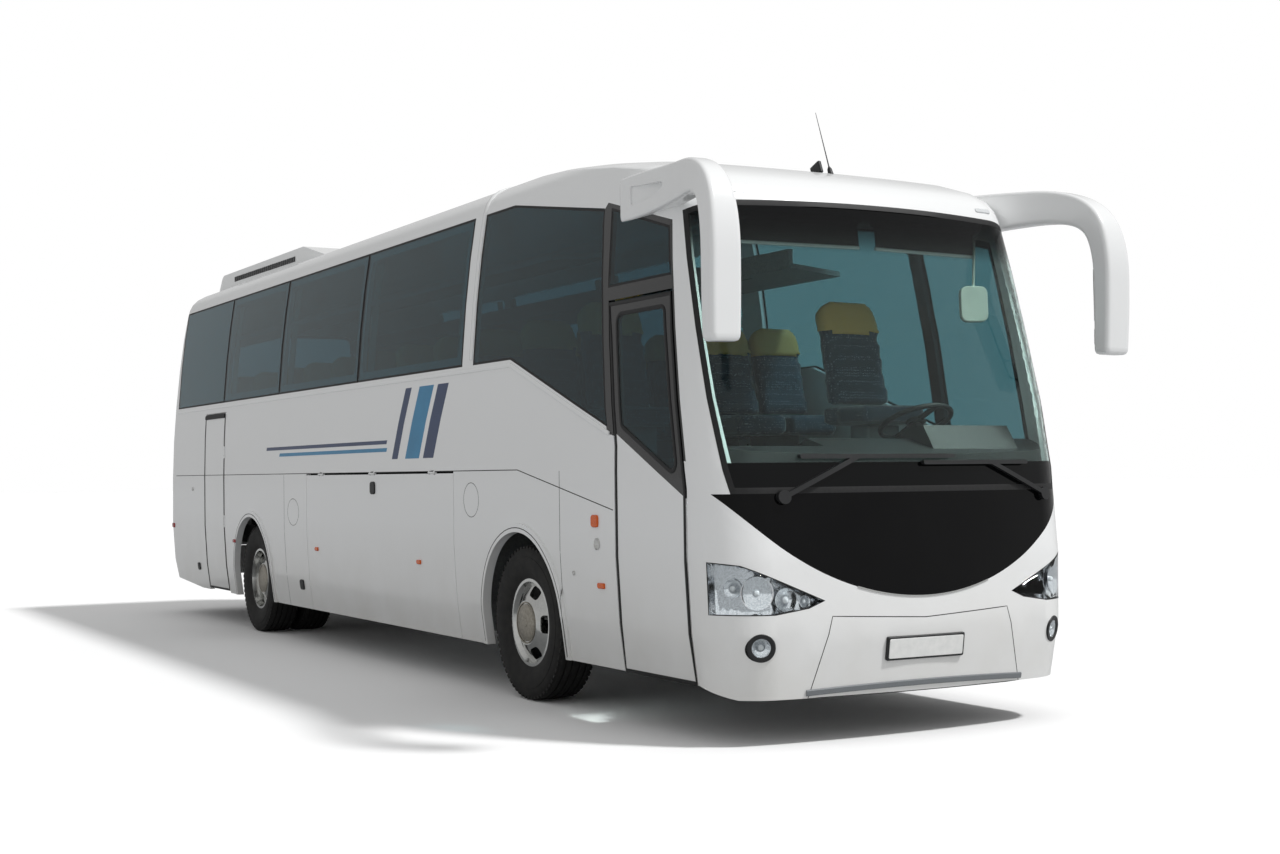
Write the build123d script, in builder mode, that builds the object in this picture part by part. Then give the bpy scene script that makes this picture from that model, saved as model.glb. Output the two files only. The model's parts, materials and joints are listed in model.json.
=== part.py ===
"""Touring coach on two axles: body panels, glass, saloon, chassis, wheels, doors and flaps.

Millimetres, +X forward, +Y to the coach's left, +Z up, origin on the ground under the middle.
"""
import os
from math import atan2, cos, degrees, hypot, radians, sin, sqrt

from build123d import *

os.makedirs("parts", exist_ok=True)

# Main sizes
LENGTH = 12000
WIDTH = 2550
ROOF_Z = 3600
FRONT_OVERHANG = 2660
WHEELBASE = 6090
MIRROR_REACH = 130
WALL = 45
GLASS = 10
SEAT_GAP = 0.3
PANEL_GAP = 6

X_TAIL = -(LENGTH + MIRROR_REACH) / 2
X_NOSE = X_TAIL + LENGTH
AXLE_F = X_NOSE - FRONT_OVERHANG
AXLE_R = AXLE_F - WHEELBASE
HALF = WIDTH / 2


def at(ahead):
    """Station along the coach, counted forward from the front axle."""
    return AXLE_F + ahead


def behind(back):
    """Station counted forward from the rear axle."""
    return AXLE_R + back


# Heights of the body's lines
SKIRT_Z = 320
BUMPER_Z = 255
CREASE_Z = 1520
SILL_Z = 2260
PANE_TOP_Z = 3330
SEAM_Z = 3400
MASK_TOP_Z = 1370
FLOOR_Z = 1450
CAB_FLOOR_Z = 1100
FLOOR_T = 50

# Envelope of the body, drawn as level outlines from the skirt to the crown of the roof
NOSE_BOW_R = 6400
TAIL_BOW_R = 16000
TAIL_CORNER_R = 230
ROOF_FROM_Z = ROOF_Z - 400

# height, nose set back, tail set back, side tucked in, nose corner radius
LEVELS = (
    (190, 60, 140, 80, 330),
    (600, 0, 15, 25, 370),
    (1000, 15, 0, 2, 370),
    (1500, 75, 15, 0, 350),
    (1900, 155, 38, 7, 340),
    (2300, 250, 70, 28, 330),
    (2700, 350, 105, 60, 315),
    (ROOF_Z - 560, 440, 135, 99, 300),
    (ROOF_Z - 490, 474, 143, 110, 300),
    (ROOF_Z - 430, 530, 151, 119, 310),
    (ROOF_Z - 370, 640, 160, 128, 330),
    (ROOF_Z - 300, 850, 175, 138, 370),
    (ROOF_Z - 230, 1180, 195, 152, 420),
    (ROOF_Z - 170, 1560, 225, 178, 460),
    (ROOF_Z - 120, 1950, 275, 222, 480),
    (ROOF_Z - 82, 2340, 345, 285, 480),
    (ROOF_Z - 50, 2800, 460, 410, 480),
    (ROOF_Z - 22, 3300, 660, 640, 480),
    (ROOF_Z, 3900, 1000, 1000, 480),
)


def corner(end, sign, bow_r, half, r):
    """Three points of the arc that joins a bowed end to a straight side."""
    bow_x = end - sign * bow_r
    reach = sqrt((bow_r - r) ** 2 - (half - r) ** 2)
    span = hypot(reach, half - r)
    centre_x = bow_x + sign * reach
    on_bow = (bow_x + sign * bow_r * reach / span, bow_r * (half - r) / span)
    mid = (sign * reach / span, (half - r) / span + 1)
    scale = r / hypot(*mid)
    on_arc = (centre_x + scale * mid[0], half - r + scale * mid[1])
    return on_bow, on_arc, (centre_x, half)


def flip(point):
    return (point[0], -point[1])


def steps_in(index, inset):
    """How far a level's nose, tail and side move in, and how far it drops, for a wall of even depth."""
    low = LEVELS[max(index - 1, 0)]
    high = LEVELS[min(index + 1, len(LEVELS) - 1)]
    drop = min(max((LEVELS[index][0] - ROOF_FROM_Z) / (ROOF_Z - ROOF_FROM_Z), 0), 1)
    moves = []
    for column in (1, 2, 3):
        rise = high[0] - low[0]
        run = abs(high[column] - low[column])
        slope = hypot(rise, run)
        moves.append(inset * (1 - drop * run / slope) * slope / rise)
    return moves + [inset * drop]


def level(index, inset):
    """Outline of the body at one height, drawn inside the skin by the inset."""
    height, nose_back, tail_back, tuck, corner_r = LEVELS[index]
    nose_in, tail_in, side_in, drop = steps_in(index, inset)
    half = HALF - tuck - side_in
    nose = X_NOSE - nose_back - nose_in
    tail = X_TAIL + tail_back + tail_in
    nose_r = min(corner_r - inset, half * 0.7)
    tail_r = min(TAIL_CORNER_R - inset, half * 0.7)
    height -= drop
    f_bow, f_arc, f_side = corner(nose, 1, NOSE_BOW_R, half, nose_r)
    t_bow, t_arc, t_side = corner(tail, -1, TAIL_BOW_R, half, tail_r)
    with BuildSketch(Plane.XY.offset(height)) as outline:
        with BuildLine():
            ThreePointArc(flip(f_bow), (nose, 0), f_bow)
            ThreePointArc(f_bow, f_arc, f_side)
            Line(f_side, t_side)
            ThreePointArc(t_side, t_arc, t_bow)
            ThreePointArc(t_bow, (tail, 0), flip(t_bow))
            ThreePointArc(flip(t_bow), flip(t_arc), flip(t_side))
            Line(flip(t_side), flip(f_side))
            ThreePointArc(flip(f_side), flip(f_arc), flip(f_bow))
        make_face()
    return outline.sketch


def envelope(inset):
    """The whole body as one solid, its surface inside the skin by the inset."""
    with BuildPart() as body:
        loft([level(index, inset) for index in range(len(LEVELS))], ruled=True)
    return body.part


SKIN = envelope(0)
GLASS_BACK = envelope(GLASS)
REBATE = envelope(GLASS + SEAT_GAP)
LINING = envelope(WALL)
ROOM = envelope(WALL + SEAT_GAP)

with BuildPart() as wall:
    add(SKIN)
    add(LINING, mode=Mode.SUBTRACT)
with BuildPart() as glazing:
    add(SKIN)
    add(GLASS_BACK, mode=Mode.SUBTRACT)

RIGHT = -1
LEFT = 1
NAMES = {RIGHT: "right", LEFT: "left"}


def side_prism(points, side=0, radius=0):
    """Solid through one side of the coach (both for side 0) inside an outline in X and Z."""
    with BuildPart() as prism:
        with BuildSketch(Plane.XZ) as outline:
            with BuildLine():
                Polyline(*points, close=True)
            make_face()
            if radius:
                fillet(outline.vertices(), radius)
        if side:
            extrude(amount=-side * WIDTH)
        else:
            extrude(amount=WIDTH, both=True)
    return prism.part


def end_prism(points, x_from, x_to, radius=0):
    """Solid along the coach between two stations inside an outline in Y and Z."""
    with BuildPart() as prism:
        with BuildSketch(Plane.YZ.offset(x_from)) as outline:
            with BuildLine():
                Polyline(*points, close=True)
            make_face()
            if radius:
                fillet(outline.vertices(), radius)
        extrude(amount=x_to - x_from)
    return prism.part


def box(x0, x1, y0, y1, z0, z1, mode=Mode.ADD):
    with Locations(((x0 + x1) / 2, (y0 + y1) / 2, (z0 + z1) / 2)):
        Box(x1 - x0, abs(y1 - y0), z1 - z0, mode=mode)


def rod(centre, direction, radius, length, mode=Mode.ADD):
    turns = {"x": (0, 90, 0), "y": (90, 0, 0), "z": (0, 0, 0)}
    with Locations(Location(centre, turns[direction])):
        Cylinder(radius, length, mode=mode)


PIECES = []


def keep(name, part):
    """Names a finished piece and puts it in the list to export."""
    part.label = name
    PIECES.append(part)


# Regions of the body in side view
DOOR_REAR = 1350
DOOR_FRONT = 2190
DOOR_TOP_Z = 2530
CAP_X = X_TAIL + 390
SCREEN_LOW = (at(2443), MASK_TOP_Z)
SCREEN_TOP = (at(1985), 2975)
BROW = ((at(1200), 3180), SCREEN_TOP, (at(2215), 3045), (X_NOSE + 300, 3190))
WAIST = ((CAP_X, CREASE_Z), (at(0), CREASE_Z), (at(DOOR_REAR), 1270), (at(DOOR_FRONT), MASK_TOP_Z))
DOORWAY = (
    (at(DOOR_REAR), 0),
    (at(DOOR_REAR), 1650),
    (at(DOOR_REAR - 135), DOOR_TOP_Z),
    (at(DOOR_FRONT - 215), DOOR_TOP_Z),
    (at(DOOR_FRONT), 1400),
    (at(DOOR_FRONT), 0),
)
TRANSOM = (
    (at(DOOR_REAR - 150), 2610),
    (at(DOOR_FRONT - 235), 2610),
    (at(DOOR_FRONT - 300), 2900),
    (at(DOOR_REAR - 195), 3105),
)
FRONT_PANE = (
    (at(-770), SILL_Z),
    (at(-150), SILL_Z),
    (at(DOOR_REAR - 95), 1770),
    (at(DOOR_REAR - 290), 3115),
    (at(-300), PANE_TOP_Z),
    (at(-770), PANE_TOP_Z),
)
CAB_PANE = (
    (at(DOOR_REAR + 10), 1740),
    (at(DOOR_FRONT - 60), 1620),
    (at(DOOR_FRONT - 300), 2900),
    (at(DOOR_REAR - 195), 3105),
)
BAND_FRONT = at(-960)
BAND_REAR = CAP_X + 20
# Panes behind the white pillar, by share of the window band, and whether they are see-through
PANES = ((0.0, 0.272, True), (0.272, 0.538, True), (0.538, 0.77, True), (0.77, 1.0, False))
PANE_JOINT = 12
PANE_FRAME = 75

SERVICE_REAR = behind(-1670)
SERVICE_FRONT = behind(-920)
SERVICE_TOP_Z = 2155
FLAP_REAR = behind(1710)
FLAP_FRONT = at(-1080)
ARCH_R = 600
LIP_W = 58
LIP_H = 16
HUB_Z = 510


def grown(points, amount):
    """Outline with every edge moved out by an amount, for the gap round a closing piece."""
    count = len(points)
    turn = sum(
        points[i - 1][0] * points[i][1] - points[i][0] * points[i - 1][1] for i in range(count)
    )
    moved = []
    for i in range(count):
        normals = []
        for start, stop in ((points[i - 1], points[i]), (points[i], points[(i + 1) % count])):
            run = (stop[0] - start[0], stop[1] - start[1])
            size = hypot(*run) if turn > 0 else -hypot(*run)
            normals.append((run[1] / size, -run[0] / size))
        (ax, ay), (bx, by) = normals
        scale = amount / (1 + ax * bx + ay * by)
        moved.append((points[i][0] + scale * (ax + bx), points[i][1] + scale * (ay + by)))
    return moved


# Roof
with BuildPart() as roof:
    add(wall.part)
    add(
        side_prism(
            ((X_TAIL - 300, SEAM_Z), (at(-300), SEAM_Z)) + BROW
            + ((X_NOSE + 300, ROOF_Z + 300), (X_TAIL - 300, ROOF_Z + 300))
        ),
        mode=Mode.INTERSECT,
    )
keep("roof", roof.part)

# Windscreen
with BuildPart() as windscreen:
    add(glazing.part)
    add(
        side_prism((SCREEN_LOW, (X_NOSE + 300, MASK_TOP_Z), BROW[3], BROW[2], SCREEN_TOP)),
        mode=Mode.INTERSECT,
    )
keep("windscreen", windscreen.part)

# Side walls above the crease, the window band let in to the depth of the glass
side_outline = WAIST + (SCREEN_LOW, SCREEN_TOP, BROW[0], (at(-300), SEAM_Z), (CAP_X, SEAM_Z))
panes = []
lights = []
for start, stop, clear in PANES:
    span = BAND_FRONT - BAND_REAR
    front = BAND_FRONT - start * span - PANE_JOINT / 2
    rear = BAND_FRONT - stop * span + PANE_JOINT / 2
    panes.append(((rear, SILL_Z), (front, SILL_Z), (front, PANE_TOP_Z), (rear, PANE_TOP_Z)))
    if clear:
        lights.append(grown(panes[-1], -PANE_FRAME))
band = (
    (BAND_REAR, SILL_Z), (BAND_FRONT, SILL_Z), (BAND_FRONT, PANE_TOP_Z), (BAND_REAR, PANE_TOP_Z),
)
HINGE_PIN_R = 6
BARREL_R = 11
HINGE_GAP = 8
service_opening = (
    (SERVICE_REAR - PANEL_GAP, 0),
    (SERVICE_FRONT + 2 * HINGE_GAP, 0),
    (SERVICE_FRONT + 2 * HINGE_GAP, SERVICE_TOP_Z + PANEL_GAP),
    (SERVICE_REAR - PANEL_GAP, SERVICE_TOP_Z + PANEL_GAP),
)
SERVICE_AXIS = (SERVICE_FRONT + HINGE_GAP, RIGHT * (HALF - 4))
SERVICE_HINGES = (1050, 1750)
FLAP_AXIS_Z = CREASE_Z - HINGE_GAP
FLAP_AXIS_Y = HALF - 3
FLAP_HINGES = (0.12, 0.5, 0.88)


def barrel(centre, direction, bore=True):
    """Middle knuckle, carried by the piece that moves."""
    rod(centre, direction, BARREL_R, 60)
    if bore:
        rod(centre, direction, HINGE_PIN_R + 0.05, 62, mode=Mode.SUBTRACT)


def along(centre, direction, step):
    move = {"x": (step, 0, 0), "y": (0, step, 0), "z": (0, 0, step)}[direction]
    return tuple(c + m for c, m in zip(centre, move))


def outer_knuckles(centre, direction):
    """Two end knuckles and the pin, carried by the body."""
    rod(centre, direction, BARREL_R + 5, 64, mode=Mode.SUBTRACT)
    for step in (-47, 47):
        rod(along(centre, direction, step), direction, BARREL_R, 30)
    rod(centre, direction, HINGE_PIN_R, 90)


def knuckle_room(centre, direction):
    """Clears the moving piece round the body's end knuckles."""
    for step in (-47, 47):
        rod(along(centre, direction, step), direction, BARREL_R + 5, 40, mode=Mode.SUBTRACT)


for side in (RIGHT, LEFT):
    with BuildPart() as upper:
        add(wall.part)
        add(side_prism(side_outline, side), mode=Mode.INTERSECT)
        with BuildPart(mode=Mode.SUBTRACT):
            add(SKIN)
            add(REBATE, mode=Mode.SUBTRACT)
            add(side_prism(band, side), mode=Mode.INTERSECT)
        for light in lights:
            add(side_prism(light, side, 60), mode=Mode.SUBTRACT)
        add(side_prism(FRONT_PANE, side), mode=Mode.SUBTRACT)
        if side == RIGHT:
            add(side_prism(DOORWAY, side), mode=Mode.SUBTRACT)
            add(side_prism(TRANSOM, side), mode=Mode.SUBTRACT)
            add(side_prism(service_opening, side), mode=Mode.SUBTRACT)
            outer_knuckles((*SERVICE_AXIS, SERVICE_HINGES[1]), "z")
        else:
            add(side_prism(CAB_PANE, side), mode=Mode.SUBTRACT)
        for share in FLAP_HINGES:
            x = FLAP_REAR + share * (FLAP_FRONT - FLAP_REAR)
            outer_knuckles((x, side * FLAP_AXIS_Y, FLAP_AXIS_Z), "x")
    keep(f"side_wall_{NAMES[side]}", upper.part)

with BuildPart() as side_glass:
    for side in (RIGHT, LEFT):
        outlines = panes + [FRONT_PANE]
        outlines += [TRANSOM] if side == RIGHT else [CAB_PANE]
        for outline in outlines:
            with BuildPart(mode=Mode.ADD):
                add(glazing.part)
                add(side_prism(outline, side), mode=Mode.INTERSECT)
keep("side_glass", side_glass.part)

# Skirts below the crease, with the wheel arches open inside a raised lip
LIP_FACE = envelope(-LIP_H)


def arch(axle, radius, side):
    """Opening of a wheel arch, round over the hub and straight down to the ground."""
    with BuildPart() as opening:
        with BuildSketch(Plane.XZ):
            with Locations((axle, HUB_Z)):
                Circle(radius)
            with Locations((axle, 0)):
                Rectangle(2 * radius, 2 * HUB_Z)
        extrude(amount=-side * WIDTH)
    return opening.part


for side in (RIGHT, LEFT):
    skirt_front = DOOR_REAR if side == RIGHT else DOOR_FRONT
    outline = (
        (CAP_X, SKIRT_Z + 60),
        (CAP_X + 900, SKIRT_Z),
        (at(skirt_front), SKIRT_Z),
    ) + (WAIST[:3] if side == RIGHT else WAIST)[::-1]
    with BuildPart() as skirt:
        add(wall.part)
        add(side_prism(outline, side), mode=Mode.INTERSECT)
        for axle in (AXLE_F, AXLE_R):
            with BuildPart(mode=Mode.ADD):
                add(arch(axle, ARCH_R + LIP_W, side))
                box(X_TAIL, X_NOSE, -WIDTH, WIDTH, 0, SKIRT_Z, mode=Mode.SUBTRACT)
                add(LIP_FACE, mode=Mode.INTERSECT)
                add(SKIN, mode=Mode.SUBTRACT)
            add(arch(axle, ARCH_R, side), mode=Mode.SUBTRACT)
        add(
            side_prism(
                (
                    (FLAP_REAR - PANEL_GAP, 0),
                    (FLAP_FRONT + PANEL_GAP, 0),
                    (FLAP_FRONT + PANEL_GAP, CREASE_Z),
                    (FLAP_REAR - PANEL_GAP, CREASE_Z),
                ),
                side,
            ),
            mode=Mode.SUBTRACT,
        )
        if side == RIGHT:
            add(side_prism(service_opening, side), mode=Mode.SUBTRACT)
            outer_knuckles((*SERVICE_AXIS, SERVICE_HINGES[0]), "z")
    keep(f"skirt_{NAMES[side]}", skirt.part)

    with BuildPart() as flap:
        add(wall.part)
        add(
            side_prism(
                (
                    (FLAP_REAR, SKIRT_Z),
                    (FLAP_FRONT, SKIRT_Z),
                    (FLAP_FRONT, FLAP_AXIS_Z - HINGE_GAP),
                    (FLAP_REAR, FLAP_AXIS_Z - HINGE_GAP),
                ),
                side,
            ),
            mode=Mode.INTERSECT,
        )
        for share in FLAP_HINGES:
            x = FLAP_REAR + share * (FLAP_FRONT - FLAP_REAR)
            centre = (x, side * FLAP_AXIS_Y, FLAP_AXIS_Z)
            knuckle_room(centre, "x")
            barrel(centre, "x")
    keep(f"luggage_flap_{NAMES[side]}", flap.part)

# Service door behind the right rear wheel
with BuildPart() as service_door:
    add(wall.part)
    add(
        side_prism(
            (
                (SERVICE_REAR, SKIRT_Z + 20),
                (SERVICE_FRONT, SKIRT_Z + 20),
                (SERVICE_FRONT, SERVICE_TOP_Z),
                (SERVICE_REAR, SERVICE_TOP_Z),
            ),
            RIGHT,
        ),
        mode=Mode.INTERSECT,
    )
    for height in SERVICE_HINGES:
        knuckle_room((*SERVICE_AXIS, height), "z")
        barrel((*SERVICE_AXIS, height), "z")
keep("service_door", service_door.part)

# Front end: black mask, lamps, bumper panel, white panel round them
LAMP = ((1300, 1010), (1130, 985), (660, 785), (760, 745), (960, 715), (1300, 715))
BUMPER = ((-618, 698), (0, 668), (618, 698), (821, 0), (-821, 0))
FOG = (1035, 540, 75)
front_from = at(DOOR_FRONT)

with BuildPart() as mask_prism:
    with BuildSketch(Plane.YZ.offset(front_from)):
        with BuildLine():
            smile = ThreePointArc((-1225, MASK_TOP_Z), (0, 787), (1225, MASK_TOP_Z))
            Line(smile @ 1, smile @ 0)
        make_face()
    extrude(amount=1000)
with BuildPart() as front_mask:
    add(wall.part)
    add(mask_prism.part, mode=Mode.INTERSECT)
keep("front_mask", front_mask.part)

lamp_prisms = [
    end_prism([(side * y, z) for y, z in LAMP], front_from + 150, X_NOSE + 200) for side in (RIGHT, LEFT)
]
with BuildPart() as fog_prism:
    with BuildSketch(Plane.YZ.offset(front_from + 150)):
        with Locations((-FOG[0], FOG[1]), (FOG[0], FOG[1])):
            Circle(FOG[2])
    extrude(amount=600)
with BuildPart() as front_lamps:
    for prism in lamp_prisms + [fog_prism.part]:
        with BuildPart(mode=Mode.ADD):
            add(wall.part)
            add(prism, mode=Mode.INTERSECT)
keep("front_lamps", front_lamps.part)

bumper_prism = end_prism(BUMPER, front_from, X_NOSE + 200)
with BuildPart() as bumper_panel:
    add(wall.part)
    add(bumper_prism, mode=Mode.INTERSECT)
    box(X_TAIL, X_NOSE + 300, -HALF, HALF, 0, BUMPER_Z, mode=Mode.SUBTRACT)
keep("bumper_panel", bumper_panel.part)

with BuildPart() as front_panel:
    add(wall.part)
    add(
        side_prism(
            (
                (front_from, SKIRT_Z),
                (at(DOOR_FRONT + 250), BUMPER_Z),
                (X_NOSE + 200, BUMPER_Z),
                (X_NOSE + 200, MASK_TOP_Z),
                (front_from, MASK_TOP_Z),
            )
        ),
        mode=Mode.INTERSECT,
    )
    for prism in lamp_prisms + [fog_prism.part, bumper_prism, mask_prism.part]:
        add(prism, mode=Mode.SUBTRACT)
keep("front_panel", front_panel.part)

# Rear end
REAR_LAMP = ((930, 820), (1090, 820), (1090, 1560), (930, 1560))
REAR_PANE = ((-930, 2300), (930, 2300), (880, 3150), (-880, 3150))
LID_HALF = 800
LID_LOW_Z = 720
LID_TOP_Z = 1800
LID_AXIS = (X_TAIL + 36, LID_TOP_Z + HINGE_GAP)
LID_HINGES = (-520, 520)
LOUVRE_W = 560
LOUVRE_H = 26
LOUVRE_PITCH = 62
LOUVRE_ROWS = 7
rear_x = (X_TAIL - 200, CAP_X)
rear_lamp_prisms = [
    end_prism([(side * y, z) for y, z in REAR_LAMP], *rear_x, 30) for side in (RIGHT, LEFT)
]
lid_outline = (
    (-LID_HALF, LID_LOW_Z), (LID_HALF, LID_LOW_Z), (LID_HALF, LID_TOP_Z), (-LID_HALF, LID_TOP_Z),
)
rear_pane_prism = end_prism(REAR_PANE, *rear_x, 120)
with BuildPart() as rear_panel:
    add(wall.part)
    add(
        side_prism(
            (
                (X_TAIL - 200, SKIRT_Z + 100), (CAP_X, SKIRT_Z + 60), (CAP_X, SEAM_Z), (X_TAIL - 200, SEAM_Z),
            )
        ),
        mode=Mode.INTERSECT,
    )
    add(
        end_prism(
            (
                (-LID_HALF - PANEL_GAP, LID_LOW_Z - PANEL_GAP),
                (LID_HALF + PANEL_GAP, LID_LOW_Z - PANEL_GAP),
                (LID_HALF + PANEL_GAP, LID_TOP_Z + 2 * HINGE_GAP),
                (-LID_HALF - PANEL_GAP, LID_TOP_Z + 2 * HINGE_GAP),
            ),
            *rear_x,
        ),
        mode=Mode.SUBTRACT,
    )
    for prism in rear_lamp_prisms + [rear_pane_prism]:
        add(prism, mode=Mode.SUBTRACT)
    for y in LID_HINGES:
        outer_knuckles((LID_AXIS[0], y, LID_AXIS[1]), "y")
        for step in (-47, 47):
            box(
                LID_AXIS[0] + 4, LID_AXIS[0] + 35, y + step - 15, y + step + 15,
                LID_AXIS[1] + 4, LID_AXIS[1] + 35,
            )
keep("rear_panel", rear_panel.part)
with BuildPart() as engine_lid:
    add(wall.part)
    add(end_prism(lid_outline, *rear_x), mode=Mode.INTERSECT)
    with BuildPart(mode=Mode.SUBTRACT):
        with BuildSketch(Plane.YZ.offset(rear_x[0])):
            with Locations((0, (LID_LOW_Z + LID_TOP_Z) / 2)):
                with GridLocations(LOUVRE_W + 90, LOUVRE_PITCH, 2, LOUVRE_ROWS):
                    SlotOverall(LOUVRE_W, LOUVRE_H)
        extrude(amount=rear_x[1] - rear_x[0])
    for y in LID_HINGES:
        knuckle_room((LID_AXIS[0], y, LID_AXIS[1]), "y")
        box(LID_AXIS[0] + 4, LID_AXIS[0] + 35, y - 26, y + 26, LID_AXIS[1] - 35, LID_AXIS[1] - 4)
        barrel((LID_AXIS[0], y, LID_AXIS[1]), "y")
keep("engine_lid", engine_lid.part)
with BuildPart() as rear_lamps:
    for prism in rear_lamp_prisms:
        with BuildPart(mode=Mode.ADD):
            add(wall.part)
            add(prism, mode=Mode.INTERSECT)
keep("rear_lamps", rear_lamps.part)
with BuildPart() as rear_window:
    add(glazing.part)
    add(rear_pane_prism, mode=Mode.INTERSECT)
keep("rear_window", rear_window.part)

# Front door on a swinging post with two bent arms
DOOR_GAP = 14
ARM = 480
ARM_Z = (620, 1560)
POST = (at(2085), RIGHT * 1110)
LUG = (POST[0] - ARM, RIGHT * 1150)
BEND = (POST[0] - 130, RIGHT * 1000)
LUG_PIN_R = 9
door_outline = grown(DOORWAY, -DOOR_GAP)
DOOR_LIGHT = (
    (at(DOOR_REAR + 75), 1760),
    (at(DOOR_FRONT - 85), 1440),
    (at(DOOR_FRONT - 285), DOOR_TOP_Z - 80),
    (at(DOOR_REAR - 35), DOOR_TOP_Z - 80),
)
with BuildPart() as front_door:
    add(wall.part)
    add(side_prism(door_outline, RIGHT), mode=Mode.INTERSECT)
    box(X_TAIL, X_NOSE, -WIDTH, WIDTH, 0, SKIRT_Z - 5, mode=Mode.SUBTRACT)
    add(side_prism(DOOR_LIGHT, RIGHT, 60), mode=Mode.SUBTRACT)
    for height in ARM_Z:
        for step in (-27, 27):
            with BuildPart(mode=Mode.ADD):
                box(LUG[0] - 18, LUG[0] + 18, LUG[1], LUG[1] - 94, height + step - 8, height + step + 8)
                rod((*LUG, height + step), "z", 18, 16)
        rod((*LUG, height), "z", LUG_PIN_R, 50)
keep("front_door", front_door.part)
with BuildPart() as door_glass:
    add(glazing.part)
    add(side_prism(DOOR_LIGHT, RIGHT, 60), mode=Mode.INTERSECT)
keep("front_door_glass", door_glass.part)
STEP_LOW_Z = 380
with BuildPart() as door_arms:
    rod((*POST, (STEP_LOW_Z + 2300) / 2 + SEAT_GAP), "z", 18, 2300 - STEP_LOW_Z)
    for height in ARM_Z:
        with BuildSketch(Plane.XY.offset(height - 15)):
            for start, stop in ((POST, BEND), (BEND, LUG)):
                run = (stop[0] - start[0], stop[1] - start[1])
                with Locations(((start[0] + stop[0]) / 2, (start[1] + stop[1]) / 2)):
                    SlotCenterToCenter(hypot(*run), 32, rotation=degrees(atan2(run[1], run[0])))
        extrude(amount=30)
        rod((*LUG, height), "z", LUG_PIN_R + 0.05, 60, mode=Mode.SUBTRACT)
keep("door_arms", door_arms.part)

# Floors, steps and the luggage bay
with BuildPart() as saloon_floor:
    box(X_TAIL, at(1100), -HALF, HALF, FLOOR_Z - FLOOR_T, FLOOR_Z)
    add(ROOM, mode=Mode.INTERSECT)
keep("saloon_floor", saloon_floor.part)

STEP_W = 200
STEP_H = (CAB_FLOOR_Z - STEP_LOW_Z) / 3
STEP_EDGE = -1150
with BuildPart() as cab_floor:
    box(at(1100), at(2480), -HALF, HALF, CAB_FLOOR_Z - FLOOR_T, CAB_FLOOR_Z)
    box(at(1100), at(1140), -HALF, HALF, CAB_FLOOR_Z, FLOOR_Z)
    add(ROOM, mode=Mode.INTERSECT)
    box(at(DOOR_REAR), at(DOOR_FRONT), -HALF, STEP_EDGE + 3 * STEP_W, 0, FLOOR_Z, mode=Mode.SUBTRACT)
    treads = [(STEP_EDGE, STEP_LOW_Z - FLOOR_T)]
    for step in range(3):
        treads.append((STEP_EDGE + step * STEP_W, STEP_LOW_Z + step * STEP_H))
        treads.append((STEP_EDGE + (step + 1) * STEP_W, STEP_LOW_Z + step * STEP_H))
    treads.append((STEP_EDGE + 3 * STEP_W, CAB_FLOOR_Z))
    treads.append((STEP_EDGE + 3 * STEP_W + FLOOR_T, CAB_FLOOR_Z))
    treads.append((STEP_EDGE + 3 * STEP_W + FLOOR_T, CAB_FLOOR_Z - 2 * STEP_H))
    treads.append((STEP_EDGE + STEP_W, STEP_LOW_Z - FLOOR_T))
    add(end_prism(treads, at(DOOR_REAR), at(DOOR_FRONT)))
keep("cab_floor", cab_floor.part)

BAY_FRONT = FLAP_FRONT - 20
BAY_REAR = FLAP_REAR + 20
BAY_Z = SKIRT_Z + 40
with BuildPart() as luggage_bay:
    box(BAY_REAR, BAY_FRONT, -HALF, HALF, BAY_Z, BAY_Z + 40)
    box(BAY_REAR, BAY_REAR + 40, -HALF, HALF, BAY_Z, FLOOR_Z - FLOOR_T)
    box(BAY_FRONT - 40, BAY_FRONT, -HALF, HALF, BAY_Z, FLOOR_Z - FLOOR_T)
    add(envelope(WALL + 8), mode=Mode.INTERSECT)
keep("luggage_bay", luggage_bay.part)

# Chassis
RAIL_Y = 430
TOW_Z = 500
TOW_T = 40
TOW_R = 20
RAIL_W = 70
RAIL_Z = (760, 960)
JACK_Z = RAIL_Z[0] - 25
# rear end, front end, cross members, jack pads
FRAMES = (
    (BAY_FRONT, at(2400), (at(-1070), at(-120), at(850), at(1600), at(2290)), (at(720),)),
    (
        X_TAIL + 150,
        BAY_REAR,
        (X_TAIL + 190, X_TAIL + 1720, AXLE_R - 700, AXLE_R + 400, BAY_REAR - 100),
        (AXLE_R + 900,),
    ),
)
with BuildPart() as chassis_frame:
    for rear, front, crosses, jacks in FRAMES:
        for side in (RIGHT, LEFT):
            box(rear, front, side * (RAIL_Y - RAIL_W / 2), side * (RAIL_Y + RAIL_W / 2), *RAIL_Z)
            for x in jacks:
                box(x - 60, x + 60, side * (RAIL_Y - 45), side * (RAIL_Y + 45), JACK_Z, RAIL_Z[0])
        for x in crosses:
            box(x, x + 70, -RAIL_Y, RAIL_Y, RAIL_Z[0] + 30, RAIL_Z[1] - 30)
    box(at(2290), at(2340), -70, 70, TOW_Z, RAIL_Z[1] - 30)
    box(at(2290), at(2480), -60, 60, TOW_Z, TOW_Z + TOW_T)
    rod((at(2430), 0, TOW_Z), "z", TOW_R, 4 * TOW_T, mode=Mode.SUBTRACT)
keep("chassis_frame", chassis_frame.part)

ENGINE_HALF = RAIL_Y - RAIL_W / 2 - SEAT_GAP
with BuildPart() as engine:
    box(X_TAIL + 300, X_TAIL + 1650, -ENGINE_HALF, ENGINE_HALF, 500, 1330)
keep("engine", engine.part)

# Axles, knuckles and wheels
TYRE_W = 290
RIM_R = 290
HUB_R = 146
COVER_OPENINGS = 5
OPENING = (68, 118)
FRONT_Y = 1078
REAR_Y = 1070
TWIN_STEP = 335
KING_Y = 900
KING_R = 26
SPINDLE_R = 45
BEAM_Z = HUB_Z - 40

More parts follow.
